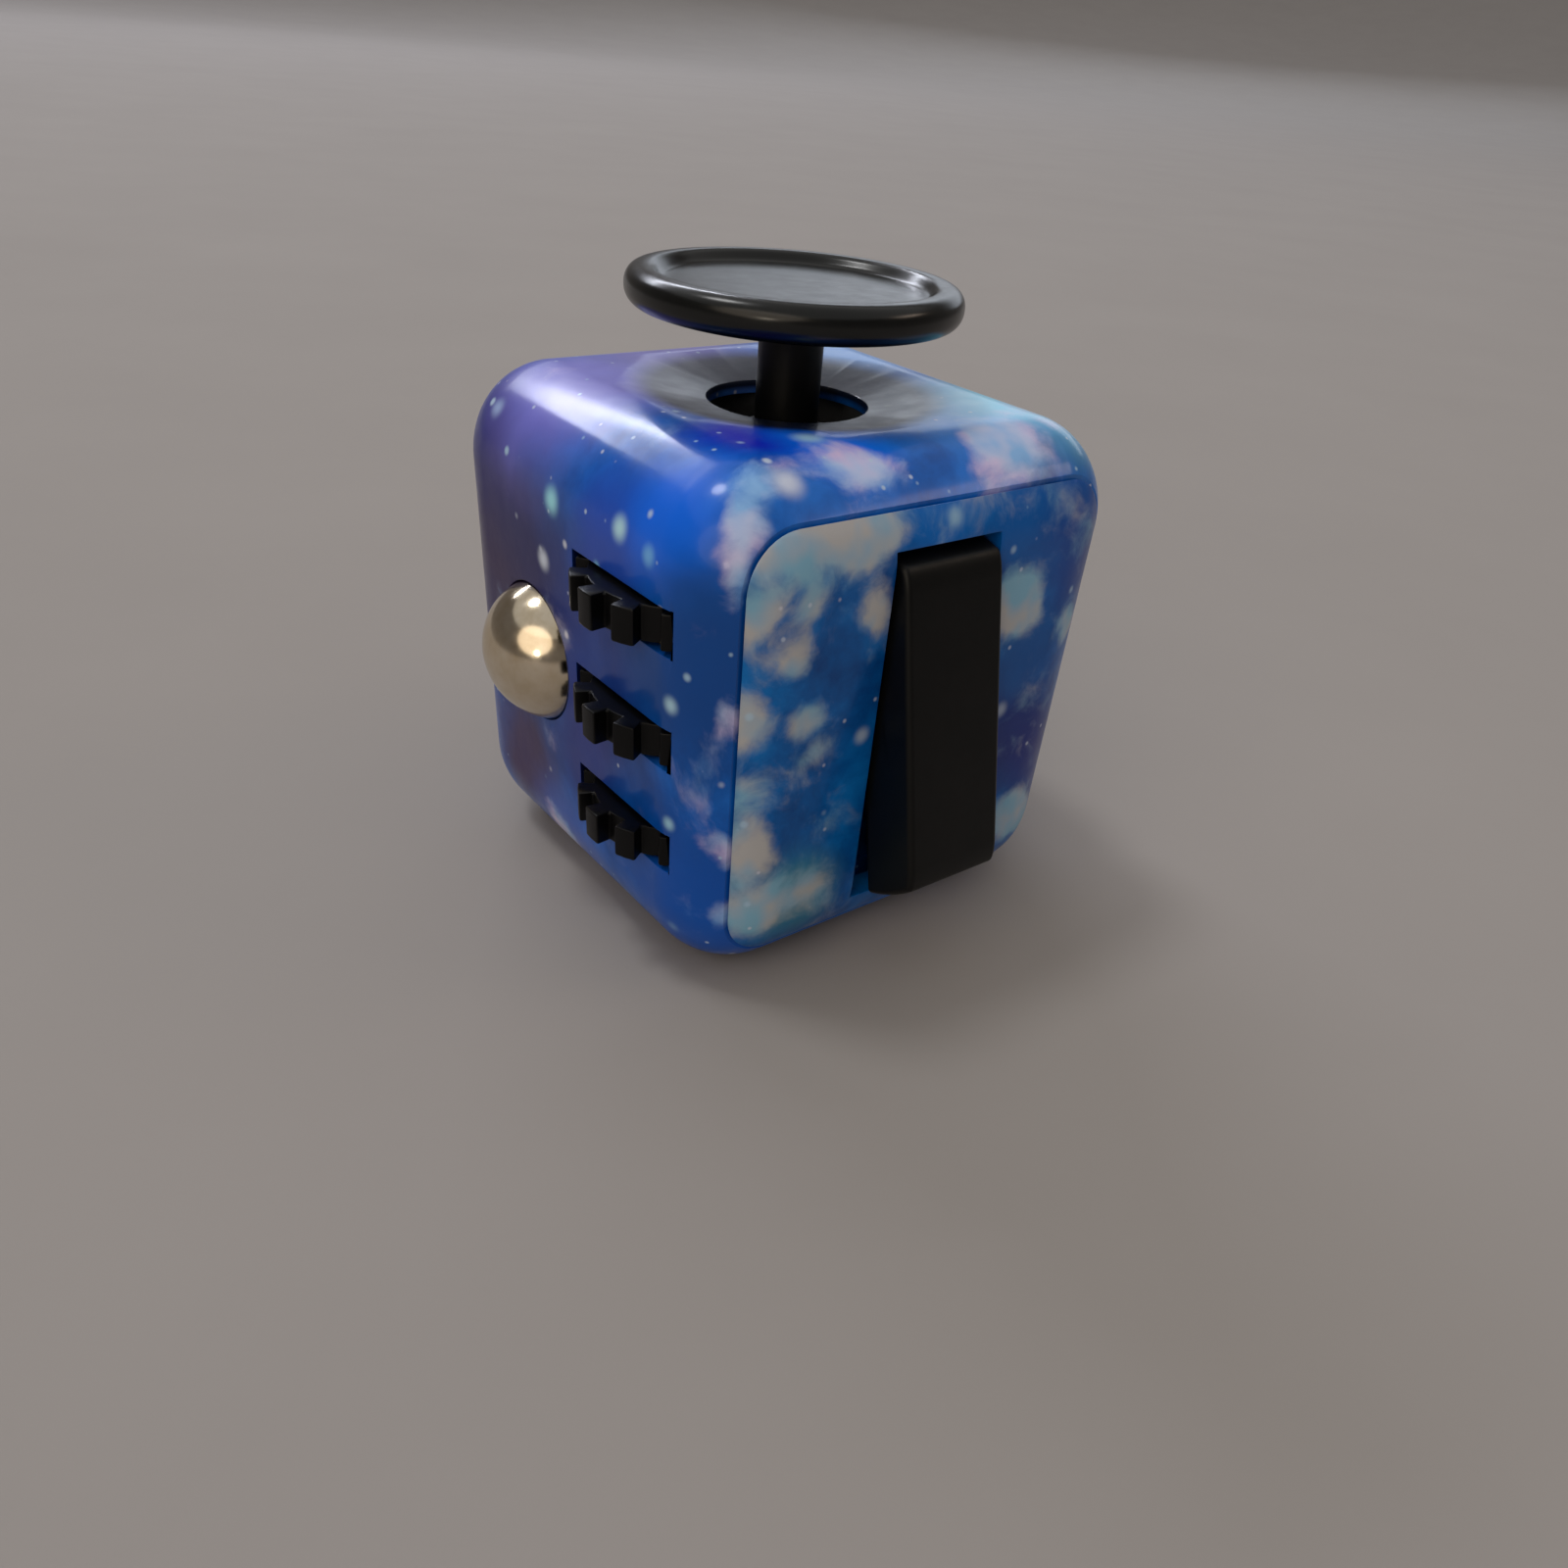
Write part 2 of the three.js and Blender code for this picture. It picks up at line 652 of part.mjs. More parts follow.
function addGears() {
  const names = ['upper', 'middle', 'lower'];
  gearHeights.forEach((z, i) => {
    addPiece(`gear_${names[i]}`, gear(z), plastic(blackPlastic, 0.4));
  });
  const shaftPlace = [gearAxisX, gearAxisY, 0];
  addPiece('gear_shaft', rod(gearShaftRadius, gearShaftLow, gearShaftHigh, 'z', shaftPlace, 24),
    metal(steel));
  for (const i of [0, 1]) {
    const top = gearHeights[i] - gearThickness / 2 - gap;
    const bottom = gearHeights[i + 1] + gearThickness / 2 + gap;
    const spacer = tube(gearSpacerRadius, gearShaftRadius + gap, bottom, top, 'z', shaftPlace, 24);
    addPiece(`gear_spacer_${i === 0 ? 'upper' : 'lower'}`, spacer, plastic(greyPlastic));
  }
}

function addBall() {
  const centre = [ballX, ballY, ballZ];
  const axle = [0, ballY, ballZ];
  addPiece('steel_ball', ball(ballRadius, centre, 28), metal(steel, 0.12));
  const cupBack = -9.6;
  const cup = without(rod(ballCupRadius, -12.4, cupBack, 'x', axle), [
    ball(ballRadius + 0.19, centre, 28),
  ]);
  addPiece('ball_cup', cup, plastic(greyPlastic));
  addPiece('ball_spring', coilSpring(2.8, 0.25, cupBack + 0.15, -7.35, 2.5, 'x', axle),
    metal(steel));
  const housingFront = -inside + gap;
  const housingEnd = -6.4;
  const housing = turned([
    [ballHousingBore, housingFront], [ballHousingRadius, housingFront],
    [ballHousingRadius, housingEnd], [0, housingEnd], [0, -7.2], [ballHousingBore, -7.2],
    [ballHousingBore, housingFront],
  ], 'x', axle);
  addPiece('ball_housing', without(housing, [gearSlot(gearHeights[1], gearSlotGrowth)]),
    plastic(greyPlastic));
}

// ---------------------------------------------------------------- buttons

function button(x, z) {
  const crown = half + buttonStandOut;
  const edge = 0.6;
  const flangeBack = 13.2;
  return turned([
    [0, flangeBack - 0.2], [1.5, flangeBack - 0.2], [1.5, flangeBack],
    [buttonFlangeRadius, flangeBack], [buttonFlangeRadius, coverBack - gap],
    [buttonRadius, coverBack - gap], [buttonRadius, crown - edge - 0.25],
    [buttonRadius - 0.3 * edge, crown - 0.3 * edge - 0.25], [buttonRadius - edge, crown - 0.25],
    [buttonRadius / 2, crown - 0.07], [0, crown],
  ], 'y', [x, 0, z], 24);
}

// A thin domed disc on the board: sprung steel where it clicks, rubber where it doesn't.
function pressDome(x, z, thickness) {
  const radius = 3;
  const base = boardFront + 0.15;
  const rise = 1.1;
  return turned([
    [0, base + rise - thickness], [radius * 0.6, base + 0.75 * rise - thickness],
    [radius - 0.4, base], [radius, base], [radius, base + 0.2],
    [radius * 0.6, base + 0.75 * rise], [0, base + rise],
  ], 'y', [x, 0, z], 16);
}

function addButtons() {
  buttonPlaces.forEach(([x, z], i) => {
    addPiece(`button_${i + 1}`, button(x, z), plastic(blackPlastic, 0.3));
    const silent = i === 1 || i === 3;
    const name = silent ? `rubber_dome_${i + 1}` : `snap_dome_${i + 1}`;
    const material = silent ? plastic(whiteRubber, 0.8) : metal(steel);
    addPiece(name, pressDome(x, z, silent ? 0.6 : 0.25), material);
  });
  const blank = squarePlug(boardHalf, 2, boardFront - boardThickness, boardFront);
  const holes = boardPostPlaces.map(([x, z]) => rod(
    screwHoleRadius, boardFront - 2, boardFront + 1, 'y', [x, 0, z], 12));
  addPiece('button_board', without(blank, holes), plastic(boardGreen));
  boardPostPlaces.forEach(([x, z], i) => {
    const seat = boardFront - boardThickness - 0.15;
    const body = screw(screwHeadRadius, screwShankRadius, seat - 0.8, seat, coverBack + 0.6,
      'y', [x, 0, z]);
    addPiece(`board_screw_${i + 1}`, body, metal(steel));
  });
}

// ---------------------------------------------------------------- spin dial

function dialKnob() {
  const under = half - dialRecessDepth + gap;
  const crown = half + dialStandOut;
  const edge = 0.8;
  const axleEnd = 11;
  const knob = turned([
    [0, axleEnd], [dialAxleRadius, axleEnd], [dialAxleRadius, under], [dialRadius, under],
    [dialRadius, crown - edge], [dialRadius - 0.3 * edge, crown - 0.3 * edge],
    [dialRadius - edge, crown], [dialDishRadius, crown], [dialDishRadius * 0.6, crown - 0.5],
    [0, crown - 0.7],
  ], 'x');
  const scallops = [];
  for (let i = 0; i < dialScallops; i += 1) {
    const angle = i * 2 * Math.PI / dialScallops;
    const reach = dialRadius + 0.6;
    const place = [0, reach * Math.cos(angle), reach * Math.sin(angle)];
    scallops.push(rod(dialScallopRadius, half + 0.2, crown + 1, 'x', place, 12));
  }
  const screwBore = rod(1.1, axleEnd - 1, 14.8, 'x', [0, 0, 0], 20);
  return without(knob, [...scallops, screwBore]);
}

function dialRatchet() {
  const teeth = 16;
  const points = [];
  for (let i = 0; i < teeth * 2; i += 1) {
    const radius = i % 2 === 0 ? 5 : 4.4;
    const angle = i * Math.PI / teeth;
    points.push(new THREE.Vector2(radius * Math.cos(angle), radius * Math.sin(angle)));
  }
  const options = { depth: 1.3, bevelEnabled: false };
  const blank = new THREE.ExtrudeGeometry(new THREE.Shape(points), options);
  const wheel = solid(layAlong(blank, 'x').translate(detentPostX, 0, 0));
  return without(wheel, [rod(dialAxleRadius + 0.15, 11, 15, 'x', [0, 0, 0], 32)]);
}

function addDial() {
  addPiece('dial_knob', dialKnob(), plastic(blackPlastic, 0.35));
  addPiece('dial_ratchet', dialRatchet(), plastic(greyPlastic));
  addPiece('dial_washer', tube(4.6, dialAxleRadius + gap, 14.05, 14.55, 'x', [0, 0, 0], 32),
    metal(steel));
  addPiece('dial_screw', screw(3.1, 0.8, 9.6, 10.8, 14.2, 'x', [0, 0, 0]), metal(steel));
  const strip = box([detentPostX + 0.1, -3, detentPostZ + 0.6], [13.6, 3, detentPostZ + 1.1]);
  const nib = rod(0.6, detentPostX + 0.1, 13.6, 'x', [0, 0, detentPostZ + 0.7], 16);
  addPiece('dial_detent_spring', strip.add(nib), metal(steel));
}

// ---------------------------------------------------------------- assembly

addPiece('main_shell', mainShell(), plastic(printedBlue));
addPiece('switch_cover', switchCover(), plastic(printedBlue));
addPiece('button_cover', buttonCover(), plastic(printedBlue));
addJoystick();
addRocker();
addGears();
addBall();
addButtons();
addDial();

cube.position.set(0, frameShiftY, half);

const model = new THREE.Group();
model.add(cube);

export default model;
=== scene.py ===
# Fidget cube: print, plastics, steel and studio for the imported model.
# Lengths in the dictionaries are millimetres from the middle of the cube, unless a note says so.

import math

import bmesh
import bpy
from mathutils import Euler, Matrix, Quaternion, Vector


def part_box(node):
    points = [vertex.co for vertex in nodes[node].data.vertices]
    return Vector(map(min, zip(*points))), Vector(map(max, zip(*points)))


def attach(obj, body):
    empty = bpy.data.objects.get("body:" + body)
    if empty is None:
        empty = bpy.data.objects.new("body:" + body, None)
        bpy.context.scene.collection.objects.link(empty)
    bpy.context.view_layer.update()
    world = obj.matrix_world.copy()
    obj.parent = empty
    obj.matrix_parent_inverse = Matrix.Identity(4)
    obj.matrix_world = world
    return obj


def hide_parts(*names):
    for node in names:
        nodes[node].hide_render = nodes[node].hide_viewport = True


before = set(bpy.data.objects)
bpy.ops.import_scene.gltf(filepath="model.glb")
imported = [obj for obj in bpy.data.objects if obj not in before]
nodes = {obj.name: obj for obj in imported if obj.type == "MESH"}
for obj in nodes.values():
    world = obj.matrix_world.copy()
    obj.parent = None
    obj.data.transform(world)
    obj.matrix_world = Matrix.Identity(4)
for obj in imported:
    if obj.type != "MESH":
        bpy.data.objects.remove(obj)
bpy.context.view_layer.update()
scene = bpy.context.scene

mm = 0.001
shellLow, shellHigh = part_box("main_shell")
middle = (shellLow + shellHigh) / 2
straightUp, alongX, alongY = (0, 0, 0), (0, math.pi / 2, 0), (math.pi / 2, 0, 0)
overlap = 0.3  # how far a boss, post or lug runs into the wall it grows from
beyond = 20.0  # outside the cube on every side


def spot(x, y, z):  # a place on the cube, in metres in the frame
    return middle + Vector((x, y, z)) * mm


def only(*pieces):  # selects these and nothing else; the first is the active one
    bpy.ops.object.select_all(action="DESELECT")
    for piece in pieces:
        piece.select_set(True)
    bpy.context.view_layer.objects.active = pieces[0]


def openUp(piece):
    only(piece)
    bpy.ops.object.mode_set(mode="EDIT")
    bpy.ops.mesh.select_all(action="SELECT")


def closeUp():
    bpy.ops.object.mode_set(mode="OBJECT")
    return bpy.context.object


def pick(kind, test):  # in edit mode, selects the faces or edges that pass a test
    bpy.ops.mesh.select_mode(type=kind)
    bpy.ops.mesh.select_all(action="DESELECT")
    mesh = bpy.context.object.data
    shape = bmesh.from_edit_mesh(mesh)
    for part in (shape.faces if kind == "FACE" else shape.edges):
        if test(part):
            part.select_set(True)
    bmesh.update_edit_mesh(mesh)


def runsAlong(edge, axis):
    across = edge.verts[1].co - edge.verts[0].co
    return abs(across[axis]) > 0.99 * across.length


def facesTo(face, axis, side=1):
    return side * face.normal[axis] > 0.99


def block(low, high):  # a box between two corners
    size = (Vector(high) - Vector(low)) * mm
    centre = middle + (Vector(low) + Vector(high)) / 2 * mm
    bpy.ops.mesh.primitive_cube_add(size=1, location=centre, scale=size)
    bpy.ops.object.transform_apply(location=False, rotation=False, scale=True)
    return bpy.context.object


def roundBlock(side, radius, steps, squares=0):  # a cube with every edge rounded, its flats cut into squares
    piece = block([-side / 2] * 3, [side / 2] * 3)
    openUp(piece)
    bpy.ops.mesh.bevel(offset=radius * mm, segments=steps, profile=0.5, affect="EDGES")
    flat = side / 2 - radius
    for axis in range(3):
        for i in range(1, squares):
            place, facing = [0, 0, 0], [0, 0, 0]
            place[axis], facing[axis] = flat * (2 * i / squares - 1), 1
            bpy.ops.mesh.select_all(action="SELECT")
            bpy.ops.mesh.bisect(plane_co=spot(*place), plane_no=facing, threshold=0.001 * mm)
    return closeUp()


def squareBar(halfWidth, radius, fromY, toY, steps=8):  # a square bar along Y with rounded corners
    piece = block([-halfWidth, fromY, -halfWidth], [halfWidth, toY, halfWidth])
    openUp(piece)
    pick("EDGE", lambda edge: runsAlong(edge, 1))
    bpy.ops.mesh.bevel(offset=radius * mm, segments=steps, profile=0.5, affect="EDGES")
    return closeUp()


def rod(radius, start, end, turn=straightUp, sides=64):  # a round bar between two places on its axis
    first, last = Vector(start), Vector(end)
    bpy.ops.mesh.primitive_cylinder_add(
        vertices=sides, radius=radius * mm, depth=(last - first).length * mm,
        location=middle + (first + last) / 2 * mm, rotation=turn)
    bpy.ops.object.transform_apply(location=False, rotation=True, scale=False)
    return bpy.context.object


def trim(piece, place, facing, snap=0.1):  # cuts off what lies past a plane and closes the cut
    openUp(piece)
    bpy.ops.mesh.bisect(plane_co=place, plane_no=facing, use_fill=True, clear_outer=True,
                        threshold=snap * mm)
    return closeUp()


def carve(piece, tool, way="DIFFERENCE"):
    only(piece)
    bpy.ops.object.modifier_add(type="BOOLEAN")
    cutting = piece.modifiers[-1]
    cutting.operation = way
    cutting.solver = "EXACT"
    cutting.object = tool
    bpy.ops.object.modifier_apply(modifier=cutting.name)
    bpy.data.objects.remove(tool)
    return piece


def softenEdges(piece, width, steps=2, sharper=35, merge=0.04):  # rounds edges sharper than so many degrees
    openUp(piece)
    bpy.ops.mesh.remove_doubles(threshold=merge * mm)
    closeUp()
    bpy.ops.object.modifier_add(type="BEVEL")
    rounding = piece.modifiers[-1]
    rounding.width = width * mm
    rounding.segments = steps
    rounding.limit_method = "ANGLE"
    rounding.angle_limit = math.radians(sharper)
    rounding.use_clamp_overlap = False
    bpy.ops.object.modifier_apply(modifier=rounding.name)


def finishPiece(piece, name, body, slot, material, *standsFor):  # smooth, in place, riding and painted
    only(piece)
    bpy.ops.object.transform_apply(location=True, rotation=True, scale=True)
    bpy.ops.object.shade_smooth_by_angle(angle=math.radians(32))
    bpy.ops.object.modifier_add(type="WEIGHTED_NORMAL")
    piece.modifiers[-1].keep_sharp = True
    bpy.ops.object.modifier_apply(modifier=piece.modifiers[-1].name)
    piece.name = piece.data.name = name
    piece.data.materials.clear()
    piece.data.materials.append(material)
    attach(piece, body)
    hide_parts(*standsFor)


def linear(hexColor):  # sRGB hex to the linear values that a shader takes
    parts = [int(hexColor[i:i + 2], 16) / 255 for i in (1, 3, 5)]
    return (*[p / 12.92 if p <= 0.04045 else ((p + 0.055) / 1.055) ** 2.4 for p in parts], 1.0)


def addNode(tree, kind, settings={}, links={}):
    node = tree.nodes.new("ShaderNode" + kind)
    for key, value in settings.items():
        if key == "stops":
            ramp = node.color_ramp.elements
            while len(ramp) < len(value):
                ramp.new(1.0)
            for stop, (place, tint) in zip(ramp, value):
                stop.position, stop.color = place, linear(tint)
        elif isinstance(key, str) and hasattr(node, key):
            setattr(node, key, value)
        else:
            node.inputs[key].default_value = value
    for key, source in links.items():
        tree.links.new(source, node.inputs[key])
    return node


def newFinish(name):  # a material with its shader and a millimetre place on the cube
    material = bpy.data.materials.new(name)
    material.use_nodes = True
    tree = material.node_tree
    place = addNode(tree, "TexCoord")
    perMm = addNode(tree, "Mapping", {"Location": -middle / mm, "Scale": (1 / mm,) * 3},
                    {"Vector": place.outputs["Object"]})
    return material, tree, tree.nodes["Principled BSDF"], perMm.outputs["Vector"]


print("camera")
stand = {"place": (-49.37, -63.08, 34.18), "lens": 26.36, "heading": 39.77, "pitch": -39.37,
         "roll": 5.26, "shift": (0.0075, 0.119)}
bpy.ops.object.select_all(action="DESELECT")
bpy.ops.object.camera_add(location=spot(*stand["place"]))
camera = bpy.context.object
camera.rotation_mode = "QUATERNION"
facing = Euler((math.radians(90 + stand["pitch"]), 0, math.radians(-stand["heading"]))).to_quaternion()
camera.rotation_quaternion = facing @ Quaternion((0, 0, 1), math.radians(stand["roll"]))
camera.data.lens = stand["lens"]
camera.data.sensor_width = 36
camera.data.shift_x, camera.data.shift_y = stand["shift"]
camera.data.clip_start = 0.002
scene.camera = camera

print("printed films")
# Water-transfer film under clear coat on ABS: deep mottled colour with a wet, slightly wavy gloss.
# Each zone is (colour, place, reach, strength); a cloud is (place, reach, strength).


def galaxyFilm(film):
    material, tree, surface, place = newFinish(film["name"])
    drift = addNode(tree, "TexNoise", {"Scale": film["drift"][0], "Detail": 3.0, "Roughness": 0.55},
                    {"Vector": place})
    push = film["drift"][1]
    lean = addNode(tree, "VectorMath", {"operation": "MULTIPLY_ADD", 1: (push,) * 3, 2: (-push / 2,) * 3},
                   {0: drift.outputs["Color"]})
    shifted = addNode(tree, "VectorMath", {"operation": "ADD"}, {0: place, 1: lean.outputs["Vector"]})
    bent = shifted.outputs["Vector"]

    # ground colour, with its own slow light and dark
    mottle = addNode(tree, "TexNoise", {"Scale": 0.22, "Detail": 5.0, "Roughness": 0.6}, {"Vector": bent})
    ground = addNode(tree, "ValToRGB", {"stops": film["ground"]}, {"Fac": mottle.outputs["Fac"]})
    colour = ground.outputs["Color"]
    for tint, centre, reach, strength in film["zones"]:
        away = addNode(tree, "VectorMath", {"operation": "DISTANCE", 1: centre}, {0: bent})
        share = addNode(tree, "MapRange", {"interpolation_type": "SMOOTHSTEP", "From Min": reach,
                                           "From Max": reach * 0.25, "To Min": 0.0, "To Max": strength},
                        {"Value": away.outputs["Value"]})
        mixed = addNode(tree, "Mix", {"data_type": "RGBA", 7: linear(tint)},
                        {0: share.outputs["Result"], 6: colour})
        colour = mixed.outputs[2]

    # ragged clouds: noise that rises above a level only where a cloud is placed
    wisps = addNode(tree, "TexNoise", {"Scale": film["wisp"], "Detail": 7.0, "Roughness": 0.58,
                                       "Distortion": 0.25}, {"Vector": bent})
    level = wisps.outputs["Fac"]
    for centre, reach, strength in film["clouds"]:
        away = addNode(tree, "VectorMath", {"operation": "DISTANCE", 1: centre}, {0: bent})
        rise = addNode(tree, "MapRange", {"interpolation_type": "SMOOTHSTEP", "From Min": reach,
                                          "From Max": 0.0, "To Min": 0.0, "To Max": strength},
                       {"Value": away.outputs["Value"]})
        raised = addNode(tree, "Math", {"operation": "ADD"}, {0: level, 1: rise.outputs["Result"]})
        level = raised.outputs["Value"]
    cover = addNode(tree, "MapRange", {"interpolation_type": "SMOOTHSTEP", "From Min": film["edge"][0],
                                       "From Max": film["edge"][1], "To Max": film["cloudStrength"]},
                    {"Value": level})
    cloudTone = addNode(tree, "TexNoise", {"Scale": 0.3, "Detail": 2.0}, {"Vector": place})
    cloudTint = addNode(tree, "ValToRGB", {"stops": film["cloudTints"]}, {"Fac": cloudTone.outputs["Fac"]})
    mixed = addNode(tree, "Mix", {"data_type": "RGBA"},
                    {0: cover.outputs["Result"], 6: colour, 7: cloudTint.outputs["Color"]})
    colour = mixed.outputs[2]

    # printed stars: two sizes strewn at random, then a few large glowing ones
    for spacing, size, glow in film["stars"]:
        cells = addNode(tree, "TexVoronoi", {"Scale": 1 / spacing, "Randomness": 1.0}, {"Vector": place})
        shine = addNode(tree, "MapRange", {"interpolation_type": "SMOOTHERSTEP", "From Min": size / spacing,
                                           "From Max": size * 0.2 / spacing, "To Max": glow},
                        {"Value": cells.outputs["Distance"]})
        pale = addNode(tree, "Mix", {"data_type": "RGBA", 6: linear("#9fd4f4"), 7: linear("#f4f0ff")},
                       {0: cells.outputs["Color"]})
        mixed = addNode(tree, "Mix", {"data_type": "RGBA"},
                        {0: shine.outputs["Result"], 6: colour, 7: pale.outputs[2]})
        colour = mixed.outputs[2]
    for tint, centre, size, glow in film["bigStars"]:
        away = addNode(tree, "VectorMath", {"operation": "DISTANCE", 1: centre}, {0: place})
        shine = addNode(tree, "MapRange", {"interpolation_type": "SMOOTHERSTEP", "From Min": size,
                                           "From Max": 0.0, "To Max": glow}, {"Value": away.outputs["Value"]})
        mixed = addNode(tree, "Mix", {"data_type": "RGBA", 7: linear(tint)},
                        {0: shine.outputs["Result"], 6: colour})
        colour = mixed.outputs[2]

    # painted shade and painted reflection: the top face goes near black under the joystick disc, where the
    # disc shades it and is mirrored in the gloss
    for centre, axis, radius, fade, low, strength in film["bare"]:
        flat = [1.0, 1.0, 1.0]
        flat[axis] = 0.0
        offset = addNode(tree, "VectorMath", {"operation": "SUBTRACT", 1: centre}, {0: place})
        inPlane = addNode(tree, "VectorMath", {"operation": "MULTIPLY", 1: flat},
                          {0: offset.outputs["Vector"]})
        away = addNode(tree, "VectorMath", {"operation": "LENGTH"}, {0: inPlane.outputs["Vector"]})
        inside = addNode(tree, "MapRange", {"interpolation_type": "SMOOTHSTEP", "From Min": radius,
                                            "From Max": radius - fade, "To Max": strength},
                         {"Value": away.outputs["Value"]})
        apart = addNode(tree, "SeparateXYZ", {}, {0: offset.outputs["Vector"]})
        near = addNode(tree, "MapRange", {"From Min": low - 0.3, "From Max": low},
                       {"Value": apart.outputs[axis]})
        both = addNode(tree, "Math", {"operation": "MULTIPLY"},
                       {0: inside.outputs["Result"], 1: near.outputs["Result"]})
        # the near-black colour of the painted shade under the disc
        mixed = addNode(tree, "Mix", {"data_type": "RGBA", 7: linear("#0e0e16")},
                        {0: both.outputs["Value"], 6: colour})
        colour = mixed.outputs[2]

    handled = addNode(tree, "TexNoise", {"Scale": 0.5, "Detail": 4.0}, {"Vector": place})
    dull = addNode(tree, "MapRange", {"From Min": 0.35, "From Max": 0.7, "To Min": film["gloss"][0],
                                      "To Max": film["gloss"][1]}, {"Value": handled.outputs["Fac"]})
    # clear coat with orange peel near 1 mm across and 0.02 mm high, over slower waves
    waves = addNode(tree, "TexNoise", {"Scale": 0.35, "Detail": 0.0}, {"Vector": place})
    peel = addNode(tree, "TexNoise", {"Scale": 1.1, "Detail": 1.0}, {"Vector": place})
    wavy = addNode(tree, "Bump", {"Strength": 0.5, "Distance": 0.04 * mm}, {"Height": waves.outputs["Fac"]})
    skin = addNode(tree, "Bump", {"Strength": 0.55, "Distance": 0.02 * mm},
                   {"Height": peel.outputs["Fac"], "Normal": wavy.outputs["Normal"]})
    tree.links.new(colour, surface.inputs["Base Color"])
    tree.links.new(dull.outputs["Result"], surface.inputs["Roughness"])
    tree.links.new(skin.outputs["Normal"], surface.inputs["Normal"])
    surface.inputs["IOR"].default_value = 1.45
    surface.inputs["Specular IOR Level"].default_value = 0.2
    surface.inputs["Coat Weight"].default_value = film["coat"]
    surface.inputs["Coat Roughness"].default_value = 0.14
    surface.inputs["Coat IOR"].default_value = 1.5
    return material


wrapFilm = galaxyFilm({
    "name": "water-transfer galaxy film, clear coated",
    "drift": (0.12, 4.5), "wisp": 0.17, "coat": 0.4, "gloss": (0.28, 0.42),
    "ground": [(0.3, "#00489c"), (0.5, "#0060c4"), (0.7, "#1478e4")],
    "zones": [
        ("#1c3a94", (-16.5, -3.0, 3.0), 12.5, 0.85),
        ("#2450cc", (-16.5, -5.5, 11.0), 6.5, 0.75),
        ("#1070ff", (-15.5, -10.5, 13.6), 5.6, 0.85),
        ("#241e5c", (-16.5, 6.5, 7.0), 11.0, 0.95),
        ("#2e2870", (-16.0, 11.0, 12.0), 6.5, 0.8),
        ("#38244e", (-16.5, 12.0, 2.0), 9.5, 0.85),
        ("#42244c", (-16.5, 7.0, -9.0), 8.5, 0.9),
        ("#262f88", (-16.5, -3.0, -4.0), 6.5, 0.8),
        ("#4468c8", (-16.5, 1.0, -14.0), 7.5, 0.9),
        ("#00489c", (-15.8, -14.0, 6.0), 9.0, 0.95),
        ("#0054bc", (-15.5, -13.5, -10.0), 10.5, 0.95),
        # print lightened with a painted reflection: the lavender on the top's rear left
        ("#8480e4", (-11.0, 6.0, 16.5), 10.0, 0.95),
        ("#8c86d8", (-2.0, 12.0, 16.5), 9.0, 0.9),
        ("#1418d0", (-8.5, -8.0, 16.5), 5.5, 0.95),
        ("#0474ff", (-5.0, -10.6, 16.2), 5.6, 0.95),
        ("#3c98fc", (6.0, -9.5, 16.5), 6.5, 0.85),
        ("#84dcff", (12.5, -8.0, 16.0), 9.0, 0.95),
        ("#7cb4fc", (11.5, 6.0, 16.5), 9.0, 0.85),
        ("#3a2f86", (16.5, 4.0, 4.0), 12.0, 0.7),
        ("#4c2f6a", (2.0, 6.0, -16.5), 12.0, 0.7),
    ],
    "clouds": [
        ((-4.4, -13.2, 15.9), 5.0, 0.5), ((6.6, -13.6, 15.7), 5.5, 0.44), ((-11.5, -13.4, 15.2), 4.0, 0.4),
        ((12.0, -11.0, 15.8), 5.0, 0.34), ((-16.0, 3.0, -14.8), 5.0, 0.6), ((16.5, -6.0, 8.0), 7.0, 0.24),
        ((14.0, 2.0, -14.0), 6.0, 0.25), ((-6.0, -4.0, -16.5), 6.0, 0.22), ((14.5, 2.0, 15.5), 5.0, 0.3),
        ((-13.8, -14.9, 13.6), 2.8, 0.44), ((-14.2, -15.4, 11.0), 2.6, 0.4), ((-14.2, -15.4, 3.4), 2.0, 0.3),
        ((-14.2, -15.4, -5.0), 2.4, 0.34), ((-14.2, -15.4, -9.5), 2.4, 0.34),
    ],
    "edge": (0.6, 0.92), "cloudStrength": 0.92,
    "cloudTints": [(0.35, "#94c8ff"), (0.5, "#c8d8ff"), (0.65, "#ecd4f8")],
    "stars": [(3.4, 0.42, 0.8), (1.9, 0.22, 0.7)],
    "bigStars": [
        ("#a4ecff", (-16.5, 1.2, 11.2), 1.3, 1.0), ("#c0f0ff", (-16.5, -6.6, 12.0), 1.2, 0.95),
        ("#7cc4ff", (-16.5, -9.8, 11.5), 1.0, 0.8), ("#8cdcff", (-16.5, -4.2, 9.0), 0.6, 0.85),
        ("#e0ecff", (-16.5, 2.6, 7.2), 1.1, 0.9), ("#b4d0ff", (-15.6, 10.2, 14.4), 1.1, 0.85),
        ("#c0eaff", (-16.5, -12.1, 3.6), 0.9, 0.9), ("#b4e8ff", (-16.5, -12.1, -4.4), 0.8, 0.85),
        ("#b4e8ff", (-16.5, -12.4, -12.6), 1.0, 0.7), ("#a8e4ff", (-14.6, 9.4, -13.4), 1.2, 0.85),
        ("#b4e4ff", (-6.0, -9.8, 16.5), 1.5, 0.8), ("#e4ecff", (-10.2, -13.6, 15.6), 1.5, 0.8),
    ],
    # painted shade and painted reflection of the joystick disc, a round patch on the top face
    "bare": [((0.0, 0.0, 15.4), 2, 10.6, 2.2, 0.0, 0.92)],
})

